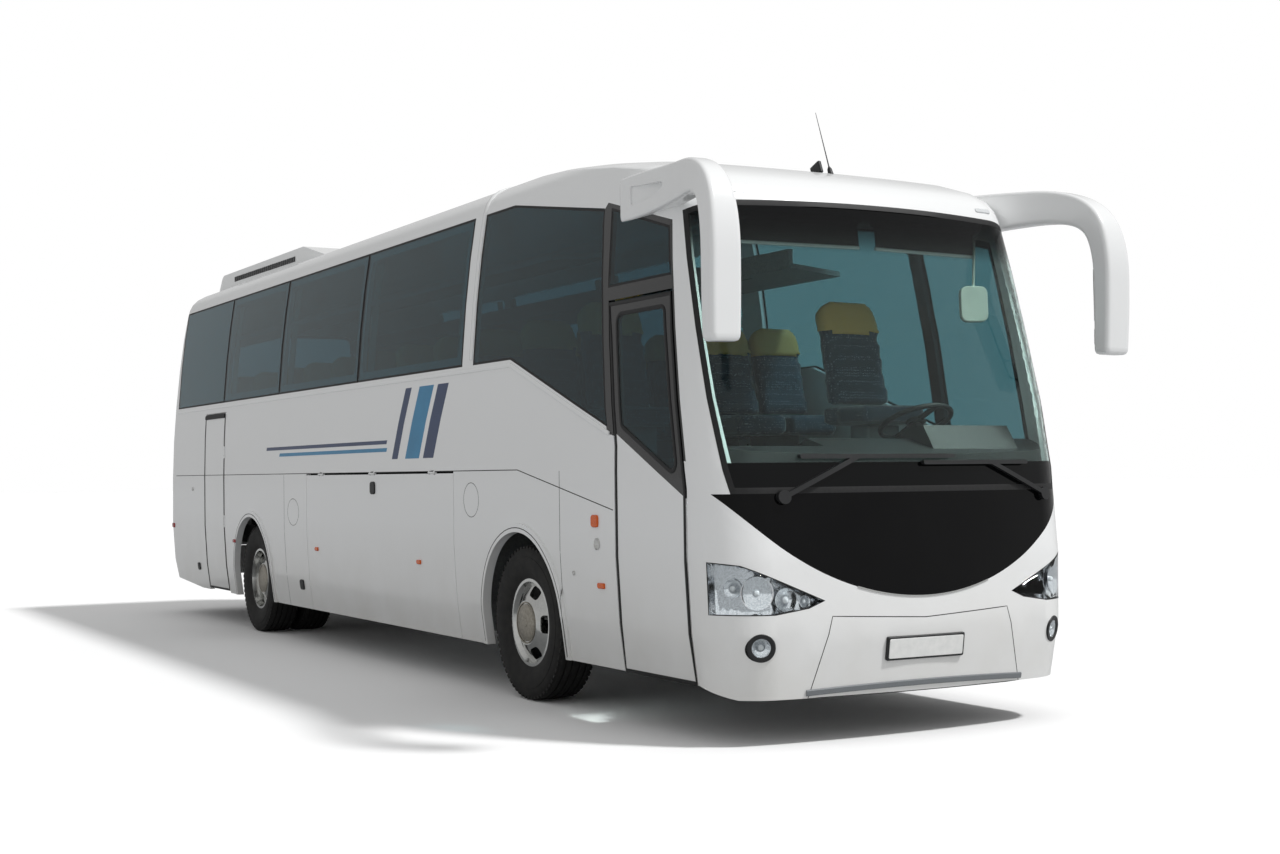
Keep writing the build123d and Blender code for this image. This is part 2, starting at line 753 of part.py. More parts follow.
with BuildPart() as front_axle:
    box(AXLE_F - 55, AXLE_F + 55, -KING_Y, KING_Y, BEAM_Z - 55, BEAM_Z + 55)
    for side in (RIGHT, LEFT):
        rod((AXLE_F, side * KING_Y, HUB_Z), "z", 58, 200)
        rod((AXLE_F, side * KING_Y, HUB_Z), "z", KING_R, 330)
        box(AXLE_F - 90, AXLE_F + 90, side * (RAIL_Y - 90), side * (RAIL_Y + 90), BEAM_Z + 55, BEAM_Z + 75)
keep("front_axle", front_axle.part)

with BuildPart() as rear_axle:
    rod((AXLE_R, 0, HUB_Z), "y", 95, 2 * (REAR_Y - TWIN_STEP - TYRE_W / 2 - 60))
    rod((AXLE_R, 0, HUB_Z), "y", SPINDLE_R, 2 * (REAR_Y + 40))
    with Locations((AXLE_R, 0, HUB_Z)):
        Sphere(230)
    for side in (RIGHT, LEFT):
        for step in (-260, 260):
            x = AXLE_R + step
            box(min(x, AXLE_R) - 60, max(x, AXLE_R) + 60, side * (RAIL_Y - 50), side * (RAIL_Y + 50),
                HUB_Z - 30, HUB_Z + 70)
keep("rear_axle", rear_axle.part)

SPRING_R = 120
with BuildPart() as air_springs:
    for side in (RIGHT, LEFT):
        low = BEAM_Z + 75
        rod((AXLE_F, side * RAIL_Y, (low + RAIL_Z[0]) / 2), "z", SPRING_R * 0.75, RAIL_Z[0] - low)
        for step in (-260, 260):
            low = HUB_Z + 70
            rod((AXLE_R + step, side * RAIL_Y, (low + RAIL_Z[0]) / 2), "z", SPRING_R * 0.6, RAIL_Z[0] - low)
keep("air_springs", air_springs.part)

for side in (RIGHT, LEFT):
    y = side * KING_Y
    with BuildPart() as knuckle:
        for step in (-132, 132):
            rod((AXLE_F, y, HUB_Z + step), "z", 58, 60)
            box(AXLE_F - 45, AXLE_F + 45, y, y + side * 105, HUB_Z + step - 30, HUB_Z + step + 30)
        box(AXLE_F - 45, AXLE_F + 45, y + side * 66, y + side * 105, HUB_Z - 162, HUB_Z + 162)
        rod((AXLE_F, y + side * 160, HUB_Z), "y", SPINDLE_R, 180)
        rod((AXLE_F, y, HUB_Z), "z", KING_R + 0.1, 340, mode=Mode.SUBTRACT)
    keep(f"knuckle_{NAMES[side]}", knuckle.part)


def tyre(centre_y):
    """One tyre standing on the ground."""
    shoulder = 40
    half = TYRE_W / 2
    with BuildPart() as ring:
        with BuildSketch(Plane.YZ):
            with BuildLine():
                tread = Line((centre_y - half + shoulder, HUB_Z), (centre_y + half - shoulder, HUB_Z))
                bead = Line((centre_y - half + 35, RIM_R), (centre_y + half - 35, RIM_R))
                for sign, end in ((-1, 0), (1, 1)):
                    edge = (centre_y + sign * (half - 12), HUB_Z - shoulder)
                    Line(tread @ end, edge)
                    ThreePointArc(edge, (centre_y + sign * half, RIM_R + 100), bead @ end)
            make_face()
        revolve(axis=Axis.Y)
    return ring.part


def wheel(side, centre_y, inner_y, dish):
    """Rim, disc, hub and polished cover of one wheel, bored for its spindle."""
    half = TYRE_W / 2 - 35
    lip = side * (centre_y + half)
    back = side * (inner_y - half)
    face = side * (centre_y + half - dish)
    with BuildPart() as body:
        with BuildSketch(Plane.YZ):
            with BuildLine():
                Polyline(
                    (back, RIM_R),
                    (lip, RIM_R),
                    (lip, RIM_R - 20),
                    (face, RIM_R - 38),
                    (face + side * 52, HUB_R + 8),
                    (face + side * 60, HUB_R),
                    (face + side * 60, 0),
                    (face + side * 40, 0),
                    (face + side * 40, SPINDLE_R + 0.1),
                    (face - side * 70, SPINDLE_R + 0.1),
                    (face - side * 70, 120),
                    (face + side * 30, HUB_R - 12),
                    (face - side * 20, RIM_R - 45),
                    (face - side * 30, RIM_R - 25),
                    (back, RIM_R - 25),
                    close=True,
                )
            make_face()
        revolve(axis=Axis.Y)
        with BuildPart(mode=Mode.SUBTRACT):
            with BuildSketch(Plane.XZ):
                with PolarLocations((HUB_R + RIM_R - 20) / 2, COVER_OPENINGS):
                    RectangleRounded(*OPENING, 24)
            extrude(amount=WIDTH, both=True)
    return body.part


for side in (RIGHT, LEFT):
    for place, axle_x, outer_y, inner_y, dish in (
        ("front", AXLE_F, FRONT_Y, FRONT_Y, 30),
        ("rear", AXLE_R, REAR_Y, REAR_Y - TWIN_STEP, 90),
    ):
        centre = (axle_x, 0, HUB_Z)
        with BuildPart() as rubber:
            with Locations(centre):
                add(tyre(side * outer_y))
                if inner_y != outer_y:
                    add(tyre(side * inner_y))
        keep(f"tyre_{place}_{NAMES[side]}", rubber.part)
        with BuildPart() as rim:
            with Locations(centre):
                add(wheel(side, outer_y, inner_y, dish))
        keep(f"wheel_{place}_{NAMES[side]}", rim.part)

# Saloon: seats in pairs, racks, driver's place
SEAT_PITCH = 780
SEAT_ROWS = 11
SEAT_FIRST = at(250)
SEAT_IN = 280
SEAT_OUT = 1130
SEAT_W = 420
SEAT_H = 440
BACK_FOOT = 395
BACK_TALL = 670
BACK_T = 95
BACK_RAKE = radians(15)
HEAD_R = 110
ROW_X = [SEAT_FIRST - row * SEAT_PITCH for row in range(SEAT_ROWS)]
SEAT_Y = [side * (out + SEAT_W / 2) for side in (RIGHT, LEFT) for out in (SEAT_IN, SEAT_OUT - SEAT_W)]
SEATED = (Align.CENTER, Align.CENTER, Align.MIN)
with BuildPart() as seat_pedestals:
    with Locations(*[(x - 160, side * 705, FLOOR_Z) for x in ROW_X for side in (RIGHT, LEFT)]):
        Box(200, 290, 300, align=SEATED)
keep("seat_pedestals", seat_pedestals.part)
with BuildPart() as seat_cushions:
    with Locations(*[(x - 170, y, FLOOR_Z + 300) for x in ROW_X for y in SEAT_Y]):
        Box(460, SEAT_W, SEAT_H - 300, align=SEATED)
keep("seat_cushions", seat_cushions.part)
# One raked back with rounded shoulders, cut flat where it stands on its cushion
with BuildPart() as seat_back:
    with BuildSketch(Plane((0, 0, 0), x_dir=(0, 1, 0), z_dir=(cos(BACK_RAKE), 0, sin(BACK_RAKE)))):
        with BuildLine():
            half = SEAT_W / 2
            neck = BACK_TALL - HEAD_R
            Polyline((-half, neck), (-half, -BACK_T), (half, -BACK_T), (half, neck))
            RadiusArc((half, neck), (half - HEAD_R, BACK_TALL), -HEAD_R)
            Line((half - HEAD_R, BACK_TALL), (HEAD_R - half, BACK_TALL))
            RadiusArc((HEAD_R - half, BACK_TALL), (-half, neck), -HEAD_R)
        make_face()
    extrude(amount=BACK_T)
    box(-BACK_TALL, BACK_TALL, -SEAT_W, SEAT_W, -BACK_TALL, 0, mode=Mode.SUBTRACT)
with BuildPart() as seat_backs:
    with Locations(*[(x - BACK_FOOT, y, FLOOR_Z + SEAT_H + SEAT_GAP) for x in ROW_X for y in SEAT_Y]):
        add(seat_back.part)
keep("seat_backs", seat_backs.part)

RACK_Z = 2870
RACK_EDGE = 740
# out from the middle and rise, of the tray and of the rail along its edge
RACK = (
    ((1300, 0), (RACK_EDGE, 55), (RACK_EDGE, 90), (1300, 35)),
    ((RACK_EDGE - SEAT_GAP, 50), (RACK_EDGE - 40, 54), (RACK_EDGE - 40, 190), (RACK_EDGE - SEAT_GAP, 190)),
)
with BuildPart() as luggage_racks:
    for side in (RIGHT, LEFT):
        for section in RACK:
            add(end_prism([(side * y, RACK_Z + rise) for y, rise in section], CAP_X + 200, at(300)))
    add(ROOM, mode=Mode.INTERSECT)
keep("luggage_racks", luggage_racks.part)

WHEEL_Y = 600
BINNACLE = 320
with BuildPart() as dashboard:
    add(
        side_prism(
            (
                (at(2050), CAB_FLOOR_Z), (at(2600), CAB_FLOOR_Z), (at(2600), 1560), (at(2150), 1680),
                (at(1980), 1600), (at(2030), 1450),
            )
        )
    )
    with BuildPart(mode=Mode.ADD):
        add(side_prism(((at(2060), 1620), (at(2420), 1580), (at(2300), 1755), (at(2110), 1740))))
        box(X_TAIL, X_NOSE, WHEEL_Y - BINNACLE, WHEEL_Y + BINNACLE, 0, ROOF_Z, mode=Mode.INTERSECT)
    add(ROOM, mode=Mode.INTERSECT)
    box(at(1900), at(2330), -HALF, -450, CAB_FLOOR_Z, 1900, mode=Mode.SUBTRACT)
keep("dashboard", dashboard.part)

with BuildPart() as steering_wheel:
    with Locations(Location((at(1830), WHEEL_Y, 1790), (0, -25, 0))):
        Torus(225, 16)
        Cylinder(60, 30)
        Box(440, 40, 16)
        with Locations((0, 0, -215)):
            Cylinder(30, 430)
    add(dashboard.part, mode=Mode.SUBTRACT)
keep("steering_wheel", steering_wheel.part)

# seat, front edge, middle across, floor
CREW = (("driver", at(1640), 600, CAB_FLOOR_Z), ("courier", at(1000), -820, FLOOR_Z))
with BuildPart() as crew_seats:
    for name, x, y, base in CREW:
        box(x - 330, x - 130, y - 130, y + 130, base, base + 330)
        box(x - 480, x, y - 240, y + 240, base + 330, base + 460)
        with BuildSketch(Plane.XZ.offset(-y - 230)):
            with BuildLine():
                Polyline(
                    (x - 350, base + 460), (x - 480, base + 460), (x - 600, base + 1150),
                    (x - 500, base + 1150), close=True,
                )
            make_face()
        extrude(amount=460)
keep("crew_seats", crew_seats.part)

# Roof fittings
AC_REAR = X_TAIL + 700
AC_FRONT = AC_REAR + 3900
with BuildPart() as air_conditioner:
    with BuildSketch(Plane.XZ) as pod:
        with BuildLine():
            Polyline(
                (AC_REAR, ROOF_Z - 100), (AC_FRONT, ROOF_Z - 100), (AC_FRONT - 900, ROOF_Z + 110),
                (AC_REAR + 200, ROOF_Z + 120), close=True,
            )
        make_face()
        fillet(pod.vertices().sort_by(Axis.Y)[-2:], 150)
    extrude(amount=880, both=True)
    add(SKIN, mode=Mode.SUBTRACT)
keep("air_conditioner", air_conditioner.part)
with BuildPart() as roof_hatches:
    for x in (at(-1700), AC_FRONT + 500):
        box(x - 380, x + 380, -350, 350, ROOF_Z - 60, ROOF_Z + 40)
    add(SKIN, mode=Mode.SUBTRACT)
keep("roof_hatches", roof_hatches.part)

# Mirrors: root fairing on the cantrail, arm forward, head hanging ahead of the door post
# station ahead, out from the middle, height, wide, tall, tangent along X, Y, Z
MIRROR = (
    (1340, 1120, 3125, 90, 250, (1, 0.12, 0)),
    (1900, 1192, 3105, 90, 215, (1, 0.22, -0.03)),
    (2330, 1300, 3060, 105, 190, (1, 0.3, -0.25)),
    (2590, 1362, 2925, 145, 165, (0.6, 0.12, -0.8)),
    (2695, 1378, 2690, 182, 135, (0.1, 0.02, -1)),
    (2728, 1378, 2430, 190, 130, (0, 0, -1)),
    (2728, 1374, 2185, 180, 115, (0, 0, -1)),
)
MIRROR_ROUND = 32
SLOT = (1480, 1830, 3080, 3170)
with BuildPart() as mirrors:
    for side in (RIGHT, LEFT):
        sections = []
        for ahead, out, height, wide, tall, tangent in MIRROR:
            normal = Vector(tangent[0], side * tangent[1], tangent[2])
            across = Vector(0, 1, 0) - normal * (normal.Y / normal.dot(normal))
            plane = Plane(origin=(at(ahead), side * out, height), x_dir=across, z_dir=normal)
            with BuildSketch(plane) as ring:
                RectangleRounded(wide, tall, MIRROR_ROUND)
            sections.append(ring.sketch)
        rear, front, low, high = SLOT
        with BuildPart(mode=Mode.ADD):
            loft(sections)
            add(SKIN, mode=Mode.SUBTRACT)
            box(X_NOSE + MIRROR_REACH, X_NOSE + 400, -WIDTH, WIDTH, 0, ROOF_Z, mode=Mode.SUBTRACT)
            box(at(rear), at(front), side * 1188, side * WIDTH, low, high, mode=Mode.SUBTRACT)
keep("mirrors", mirrors.part)

# Wipers: an arm from its spindle at the foot of the screen to a blade lying across the glass
# spindle out, spindle height, blade from, blade to, blade height, arm meets blade
WIPER = ((-883, 1352, -768, 276, 1572, -400), (994, 1347, 40, 860, 1535, 560))
WIPER_FACE = envelope(-30)
with BuildPart() as wipers:
    for pivot_y, pivot_z, blade_from, blade_to, blade_z, meets in WIPER:
        with BuildPart(mode=Mode.ADD):
            with BuildSketch(Plane.YZ.offset(at(DOOR_FRONT))):
                with Locations((pivot_y, pivot_z)):
                    Circle(38)
                arm = (meets - pivot_y, blade_z - pivot_z)
                with Locations(((meets + pivot_y) / 2, (blade_z + pivot_z) / 2)):
                    SlotCenterToCenter(hypot(*arm), 26, rotation=degrees(atan2(arm[1], arm[0])))
                with Locations(((blade_from + blade_to) / 2, blade_z)):
                    SlotOverall(blade_to - blade_from, 24)
            extrude(amount=1000)
            add(WIPER_FACE, mode=Mode.INTERSECT)
            add(SKIN, mode=Mode.SUBTRACT)
keep("wipers", wipers.part)

for piece in PIECES:
    export_step(piece, f"parts/{piece.label}.step")
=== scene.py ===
# %% [markdown]
# # A touring coach in the studio
# The solids of the coach come packed in one shared frame, in metres, with +X towards the nose and +Z up.
# This lesson dresses them: paint, glass, rubber, chrome and cloth, and the trim too fine for the solids.
# Nothing is moved. A finer piece either rides on the same body as its solid, or stands in for it.

# %% Load the frame
import json
from math import ceil, cos, hypot, pi, radians, sin

import bmesh
import bpy
from mathutils import Matrix, Vector
from mathutils.bvhtree import BVHTree


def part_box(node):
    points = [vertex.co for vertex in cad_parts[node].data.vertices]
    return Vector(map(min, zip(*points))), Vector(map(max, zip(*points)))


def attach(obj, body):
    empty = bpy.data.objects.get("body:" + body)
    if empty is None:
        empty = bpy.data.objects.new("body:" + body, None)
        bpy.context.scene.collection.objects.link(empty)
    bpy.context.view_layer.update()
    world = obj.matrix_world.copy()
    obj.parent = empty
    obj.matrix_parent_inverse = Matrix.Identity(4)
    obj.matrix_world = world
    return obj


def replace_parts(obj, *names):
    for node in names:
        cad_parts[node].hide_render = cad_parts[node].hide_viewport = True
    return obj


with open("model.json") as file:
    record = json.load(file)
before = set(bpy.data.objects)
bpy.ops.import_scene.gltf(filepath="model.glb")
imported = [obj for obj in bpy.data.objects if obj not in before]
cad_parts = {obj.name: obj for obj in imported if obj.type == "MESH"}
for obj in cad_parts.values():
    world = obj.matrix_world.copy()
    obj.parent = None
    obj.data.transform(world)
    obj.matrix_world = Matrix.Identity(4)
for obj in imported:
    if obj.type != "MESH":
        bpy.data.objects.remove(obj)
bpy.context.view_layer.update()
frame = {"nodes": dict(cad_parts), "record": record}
body_of = {
    node: body for body, nodes in frame["record"]["behaviour"]["bodies"].items() for node in nodes
}

# %% [markdown]
# ## Places that the trim is set from
# The wheels give the axle lines, and the body's own boxes give its ends. Most other places along the coach
# are distances from one of these, and heights are measured from the ground.

# %% Axle lines and body ends
front_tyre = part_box("tyre_front_left")
rear_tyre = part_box("tyre_rear_left")
FRONT_AXLE_X = (front_tyre[0].x + front_tyre[1].x) / 2
REAR_AXLE_X = (rear_tyre[0].x + rear_tyre[1].x) / 2
HUB_Z = (front_tyre[0].z + front_tyre[1].z) / 2
TAIL_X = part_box("rear_panel")[0].x
NOSE_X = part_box("front_panel")[1].x
CREASE_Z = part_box("skirt_right")[1].z
SKIRT_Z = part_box("luggage_flap_right")[0].z
UPRIGHT = (0, 0, 1)
RIGHT, LEFT = -1, 1
SIDES = (RIGHT, LEFT)
SIDE_NAME = {RIGHT: "right", LEFT: "left"}
print("axles at", round(FRONT_AXLE_X, 3), round(REAR_AXLE_X, 3), "nose at", round(NOSE_X, 3))

# %% [markdown]
# ## Finishes
# Every finish is a Principled shader fed by a few nodes. Small helpers keep the recipes short: one turns a
# screen colour into the linear colour that the shader wants, one adds a node with its settings and links in
# one call, and the others wrap the nodes that come up again and again.


# %% Helpers for finishes
def linear(hex_colour):
    """Linear RGBA of an sRGB hex colour."""
    channels = [int(hex_colour[i : i + 2], 16) / 255 for i in (1, 3, 5)]
    return [c / 12.92 if c <= 0.04045 else ((c + 0.055) / 1.055) ** 2.4 for c in channels] + [1.0]


def add_node(tree, kind, inputs=None, **settings):
    """A node with its properties set, and its inputs either set or linked."""
    node = tree.nodes.new(kind)
    for name, value in settings.items():
        setattr(node, name, value)
    for socket, value in (inputs or {}).items():
        if isinstance(value, bpy.types.NodeSocket):
            tree.links.new(value, node.inputs[socket])
        else:
            node.inputs[socket].default_value = value
    return node


def calc(tree, operation, first, second):
    """Output of a Math node."""
    return add_node(tree, "ShaderNodeMath", {0: first, 1: second}, operation=operation).outputs["Value"]


def ranged(tree, value, start, stop, first=0.0, last=1.0):
    """Output that runs from first to last while a value runs from start to stop."""
    sockets = {"Value": value, "From Min": start, "From Max": stop, "To Min": first, "To Max": last}
    return add_node(tree, "ShaderNodeMapRange", sockets).outputs["Result"]


def mixed(tree, factor, first, second, data_type="RGBA"):
    """Output of a Mix node, which is all first at a factor of 0."""
    sockets = {"Factor": factor, "A": first, "B": second}
    return add_node(tree, "ShaderNodeMix", sockets, data_type=data_type).outputs["Result"]


def mixed_shader(tree, factor, first, second):
    """Output of a Mix Shader node."""
    return add_node(tree, "ShaderNodeMixShader", {0: factor, 1: first, 2: second}).outputs[0]


def new_finish(name, **inputs):
    """A material with its Principled shader, and the coordinates that its patterns read."""
    finish = bpy.data.materials.new(name)
    finish.use_nodes = True
    tree = finish.node_tree
    shader = tree.nodes["Principled BSDF"]
    for socket, value in inputs.items():
        shader.inputs[socket.replace("_", " ")].default_value = value
    coords = add_node(tree, "ShaderNodeTexCoord").outputs["Object"]
    return finish, tree, shader, coords


def per_metre(size_mm):
    """Texture scale at which one cell of a pattern is the given size."""
    return 1000 / size_mm


def noise_of(tree, coords, size_mm, detail=3.0):
    """Output of a noise with cells of the given size."""
    sockets = {"Vector": coords, "Scale": per_metre(size_mm), "Detail": detail}
    return add_node(tree, "ShaderNodeTexNoise", sockets).outputs["Fac"]


def relief(tree, shader, height, strength, deep_mm):
    """Bumps the shader's normal by a pattern."""
    sockets = {"Height": height, "Strength": strength, "Distance": deep_mm / 1000}
    bump = add_node(tree, "ShaderNodeBump", sockets)
    tree.links.new(bump.outputs["Normal"], shader.inputs["Normal"])


def speckled(name, size_mm, dark, light, bump_mm=0.0, **inputs):
    """A finish whose colour drifts between two tones, with a matching relief."""
    finish, tree, shader, coords = new_finish(name, **inputs)
    noise = noise_of(tree, coords, size_mm)
    ramp = add_node(tree, "ShaderNodeValToRGB", {"Fac": noise})
    for stop, position, tone in zip(ramp.color_ramp.elements, (0.3, 0.7), (dark, light)):
        stop.position = position
        stop.color = linear(tone)
    tree.links.new(ramp.outputs["Color"], shader.inputs["Base Color"])
    if bump_mm:
        relief(tree, shader, noise, 0.4, bump_mm)
    return finish


print("finish helpers ready")

# %% [markdown]
# ### White coach enamel
# Two-pack polyurethane enamel, sprayed and polished. The eye reads it by its clear gloss. Towards the skirt
# the colour is mixed by height into a darker, warmer tone and broken up by noise. The door frame and the
# pillar behind it are masked off and sprayed black, inside an outline of the side view.

# %% White enamel, black inside an outline
LOW_TONE_TOP_Z, LOW_TONE_FOOT_Z, LOW_TONE_MOST = 1.15, 0.25, 0.55


def coach_enamel(name, black_within=()):
    """White enamel. Inside a convex outline of (x, z) corners, taken anticlockwise, it is sprayed black."""
    finish, tree, shader, coords = new_finish(
        name, Roughness=0.24, IOR=1.5, Coat_Weight=0.4, Coat_Roughness=0.04
    )
    place = add_node(tree, "ShaderNodeSeparateXYZ", {"Vector": coords})
    # a darker, warmer tone towards the foot, mixed in by height and broken up by noise
    low_tone_noise = noise_of(tree, coords, 420, 5.0)
    low = ranged(tree, place.outputs["Z"], LOW_TONE_TOP_Z, LOW_TONE_FOOT_Z, 0.0, LOW_TONE_MOST)
    colour = mixed(tree, calc(tree, "MULTIPLY", low, low_tone_noise), linear("#F1F2F2"), linear("#BDB8AC"))
    if black_within:
        inside = 1.0
        for start, stop in zip(black_within, black_within[1:] + black_within[:1]):
            along_x, along_z = stop[0] - start[0], stop[1] - start[1]
            sockets = {0: coords, 1: (-along_z, 0, along_x)}
            beside = add_node(tree, "ShaderNodeVectorMath", sockets, operation="DOT_PRODUCT")
            edge = along_x * start[1] - along_z * start[0]
            past = calc(tree, "GREATER_THAN", beside.outputs["Value"], edge)
            inside = calc(tree, "MULTIPLY", past, inside)
        colour = mixed(tree, inside, colour, linear("#08090A"))
    tree.links.new(colour, shader.inputs["Base Color"])
    return finish


def ahead_of_axle(*corners):
    """Corners of an outline, measured ahead of the front axle."""
    return tuple((FRONT_AXLE_X + x, z) for x, z in corners)


white_enamel = coach_enamel("white_coach_enamel")
door_enamel = coach_enamel(
    "white_and_black_door_enamel", ahead_of_axle((1.1, 1.853), (2.3, 1.289), (2.3, 4.0), (1.1, 4.0))
)
wall_enamel = coach_enamel(
    "white_and_black_wall_enamel",
    ahead_of_axle((1.255, 1.73), (2.18, 1.55), (1.915, 2.93), (1.10, 3.145), (1.06, 3.11)),
)
print("enamels made")

# %% [markdown]
# ### Glass
# Coach glazing is body-tinted float glass, green towards blue. The shader is clear glass tinted by its own
# colour, mixed with plain transparency for shadow rays, so that daylight still reaches the seats inside.
# The windscreen carries a black ceramic border along its foot and a shade band along its top.


# %% Tinted and clear glass
def tinted_glass(name, tint, daylight, black_bands=()):
    """Glass that lets in light of the daylight colour. A black band is given by the height of its edge, by
    1 for black above or -1 for black below, and by the height over which it fades in."""
    finish, tree, shader, coords = new_finish(
        name, Base_Color=linear(tint), Roughness=0.0, IOR=1.3, Transmission_Weight=1.0
    )
    path = add_node(tree, "ShaderNodeLightPath")
    through = add_node(tree, "ShaderNodeBsdfTransparent", {"Color": linear(daylight)})
    surface = mixed_shader(tree, path.outputs["Is Shadow Ray"], shader.outputs["BSDF"], through.outputs[0])
    place = add_node(tree, "ShaderNodeSeparateXYZ", {"Vector": coords})
    for edge, side, fade in black_bands:
        band = ranged(tree, place.outputs["Z"], edge, edge + side * fade)
        sockets = {"Base Color": linear("#050607"), "Roughness": 0.08, "IOR": 1.3}
        enamel = add_node(tree, "ShaderNodeBsdfPrincipled", sockets)
        surface = mixed_shader(tree, band, surface, enamel.outputs[0])
    tree.links.new(surface, tree.nodes["Material Output"].inputs["Surface"])
    return finish


screen_low, screen_high = (corner.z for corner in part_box("windscreen"))
screen_bands = ((screen_low + 0.17, -1, 0.004), (screen_high - 0.30, 1, 0.25))
screen_glass = tinted_glass("windscreen_float_glass", "#D0E2DE", "#F2F8F6", screen_bands)
pane_glass = tinted_glass("tinted_float_glass", "#4A727C", "#B4C8CD")
lens_plastic = tinted_glass("clear_polycarbonate", "#F4F7F8", "#F4F7F8")
print("glasses made")

# %% [markdown]
# ### Black, chrome, rubber and cloth
# The rest are plain recipes: a base tone, a little drift in it, and a relief at the size that the real
# surface has.

# %% Black finishes
# Gloss gelcoat of the front mask: deep black, with a clean and weak reflection
black_gelcoat = speckled(
    "black_gloss_gelcoat", 300, "#030304", "#060607", Roughness=0.06, IOR=1.45, Specular_IOR_Level=0.2
)

# Extruded EPDM rubber: dull, slightly grey where it is dusty
seal_rubber = speckled("black_epdm_rubber", 25, "#0A0A0B", "#161617", 0.3, Roughness=0.62, IOR=1.5)

# Moulded ABS with a leather grain of about 2 mm, which breaks up the sheen
grained_abs = speckled("grained_black_abs", 2, "#131415", "#1C1D1F", 0.3, Roughness=0.5, IOR=1.5)

# Tyre rubber: matt, with dust worked into it
tyre_rubber = speckled("carbon_black_tyre_rubber", 60, "#121212", "#232220", 0.6, Roughness=0.8, IOR=1.5)

# Bitumen-painted chassis steel: rough and dull with road dirt
chassis_steel = speckled("painted_chassis_steel", 90, "#1B1B1B", "#302E2A", 0.5, Roughness=0.6, IOR=1.5)

# Ceramic border baked on the inside of the panes: a flat black edge
border_enamel = speckled("black_ceramic_border", 200, "#090B0D", "#0E1114", Roughness=0.35, IOR=1.5)
print("black finishes made")

# %% Bright finishes
# Pressed and polished stainless steel, a little uneven in tone
wheel_steel = speckled("polished_stainless_steel", 35, "#C6C7C5", "#D0D0CD", Metallic=1.0, Roughness=0.14)

# Vacuum-metallised reflector, which glints in small facets
reflector = speckled("metallised_reflector", 8, "#C9CCD0", "#E8EAEC", 0.4, Metallic=1.0, Roughness=0.12)

# Silvered glass of the mirrors
mirror_silver = speckled("silvered_mirror_glass", 500, "#D5DADC", "#E4E7E8", Metallic=1.0, Roughness=0.03)

# Aluminium hub disc, dulled by brake dust
hub_disc = speckled("dull_cast_aluminium", 15, "#8F8A80", "#B0AA9E", 0.4, Metallic=0.85, Roughness=0.42)
print("bright finishes made")

# %% Lamp plastics
# Moulded acrylic: smooth outside, with a fine prism pattern that breaks up the colour
LENS = {"Roughness": 0.12, "IOR": 1.49}
amber_lens = speckled("amber_acrylic", 6, "#C8480A", "#F0700F", 0.5, **LENS)
red_lens = speckled("red_acrylic", 6, "#7E0508", "#B50D10", 0.5, **LENS)
white_lens = speckled("frosted_white_acrylic", 6, "#C9CCCE", "#E6E8E9", 0.5, Roughness=0.2, IOR=1.49)
print("lamp plastics made")

# %% Inside finishes and films
# Moquette: short wool pile with small woven dots, 18 mm apart
moquette, tree, shader, coords = new_finish("dotted_wool_moquette", Roughness=0.95, Sheen_Weight=0.5)
dots = add_node(
    tree, "ShaderNodeTexVoronoi", {"Vector": coords, "Scale": per_metre(18), "Randomness": 0.35}
)
dot = calc(tree, "LESS_THAN", dots.outputs["Distance"], 0.22)
pile = noise_of(tree, coords, 5)
ground = mixed(tree, pile, linear("#26313F"), linear("#3B4757"))
tree.links.new(mixed(tree, dot, ground, linear("#8C97A3")), shader.inputs["Base Color"])
relief(tree, shader, pile, 0.5, 1)

# Tan leatherette of the head covers, grain about 3 mm
tan_cover = speckled("tan_leatherette", 3, "#CFA152", "#E6BE74", 0.5, Roughness=0.55, IOR=1.5)

# Woven polyester of the curtains, soft and pale
curtain_cloth = speckled("pale_green_trevira", 3, "#8FB5A9", "#A9CBBF", 0.4, Roughness=0.9, Sheen_Weight=0.3)

# Moulded ABS in two greys: seat shells and bumper lip, and the back of the inner mirror
grey_abs = speckled("grey_moulded_abs", 3, "#6C7073", "#7C8083", 0.3, Roughness=0.5, IOR=1.5)
grey_shell = speckled("pale_grey_moulded_abs", 3, "#B9BEB6", "#CDD1C9", 0.3, Roughness=0.45, IOR=1.5)

# Flecked vinyl underfoot, and felt on walls and racks, which both look dull and grainy
floor_vinyl = speckled("flecked_vinyl_floor", 6, "#3A3D40", "#565A5D", 0.2, Roughness=0.6, IOR=1.5)
lining_felt = speckled("needle_felt_lining", 12, "#8A8E8F", "#A0A4A4", 0.8, Roughness=0.95)

# Smooth sheeting of the plates and cast vinyl of the livery, almost even in tone
blank_plate = speckled("blank_plate_sheeting", 40, "#E4E5E3", "#EFEFED", Roughness=0.35, IOR=1.5)
navy_vinyl = speckled("navy_vinyl_film", 200, "#14305A", "#173663", Roughness=0.3, IOR=1.5)
blue_vinyl = speckled("blue_vinyl_film", 200, "#1A7CA8", "#1F86B4", Roughness=0.3, IOR=1.5)
print("finishes", len(bpy.data.materials))

# %% [markdown]
# ## Solids that keep their shape
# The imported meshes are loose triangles, so a copy is welded, shaded smooth below a crease angle, and its
# normals are weighted by face area. Big panels then stay calm and small roundings catch the light.


# %% Welded copies of the solids
def link(name, mesh, finish, body):
    """An object for a finished mesh, riding on its body."""
    piece = bpy.data.objects.new(name, mesh)
    bpy.context.scene.collection.objects.link(piece)
    mesh.materials.clear()
    for each in finish if isinstance(finish, tuple) else (finish,):
        mesh.materials.append(each)
    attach(piece, body)
    return piece


def smooth(mesh, angle=28):
    """Smooth shading that stays sharp past an angle."""
    mesh.shade_smooth()
    mesh.set_sharp_from_angle(angle=radians(angle))


def calm(piece):
    """Weights the normals by face area."""
    weighted = piece.modifiers.new("calm", "WEIGHTED_NORMAL")
    weighted.keep_sharp = True


def welded(node):
    """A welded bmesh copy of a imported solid."""
    shape = bmesh.new()
    shape.from_mesh(frame["nodes"][node].data)
    bmesh.ops.remove_doubles(shape, verts=shape.verts, dist=0.00003)
    return shape


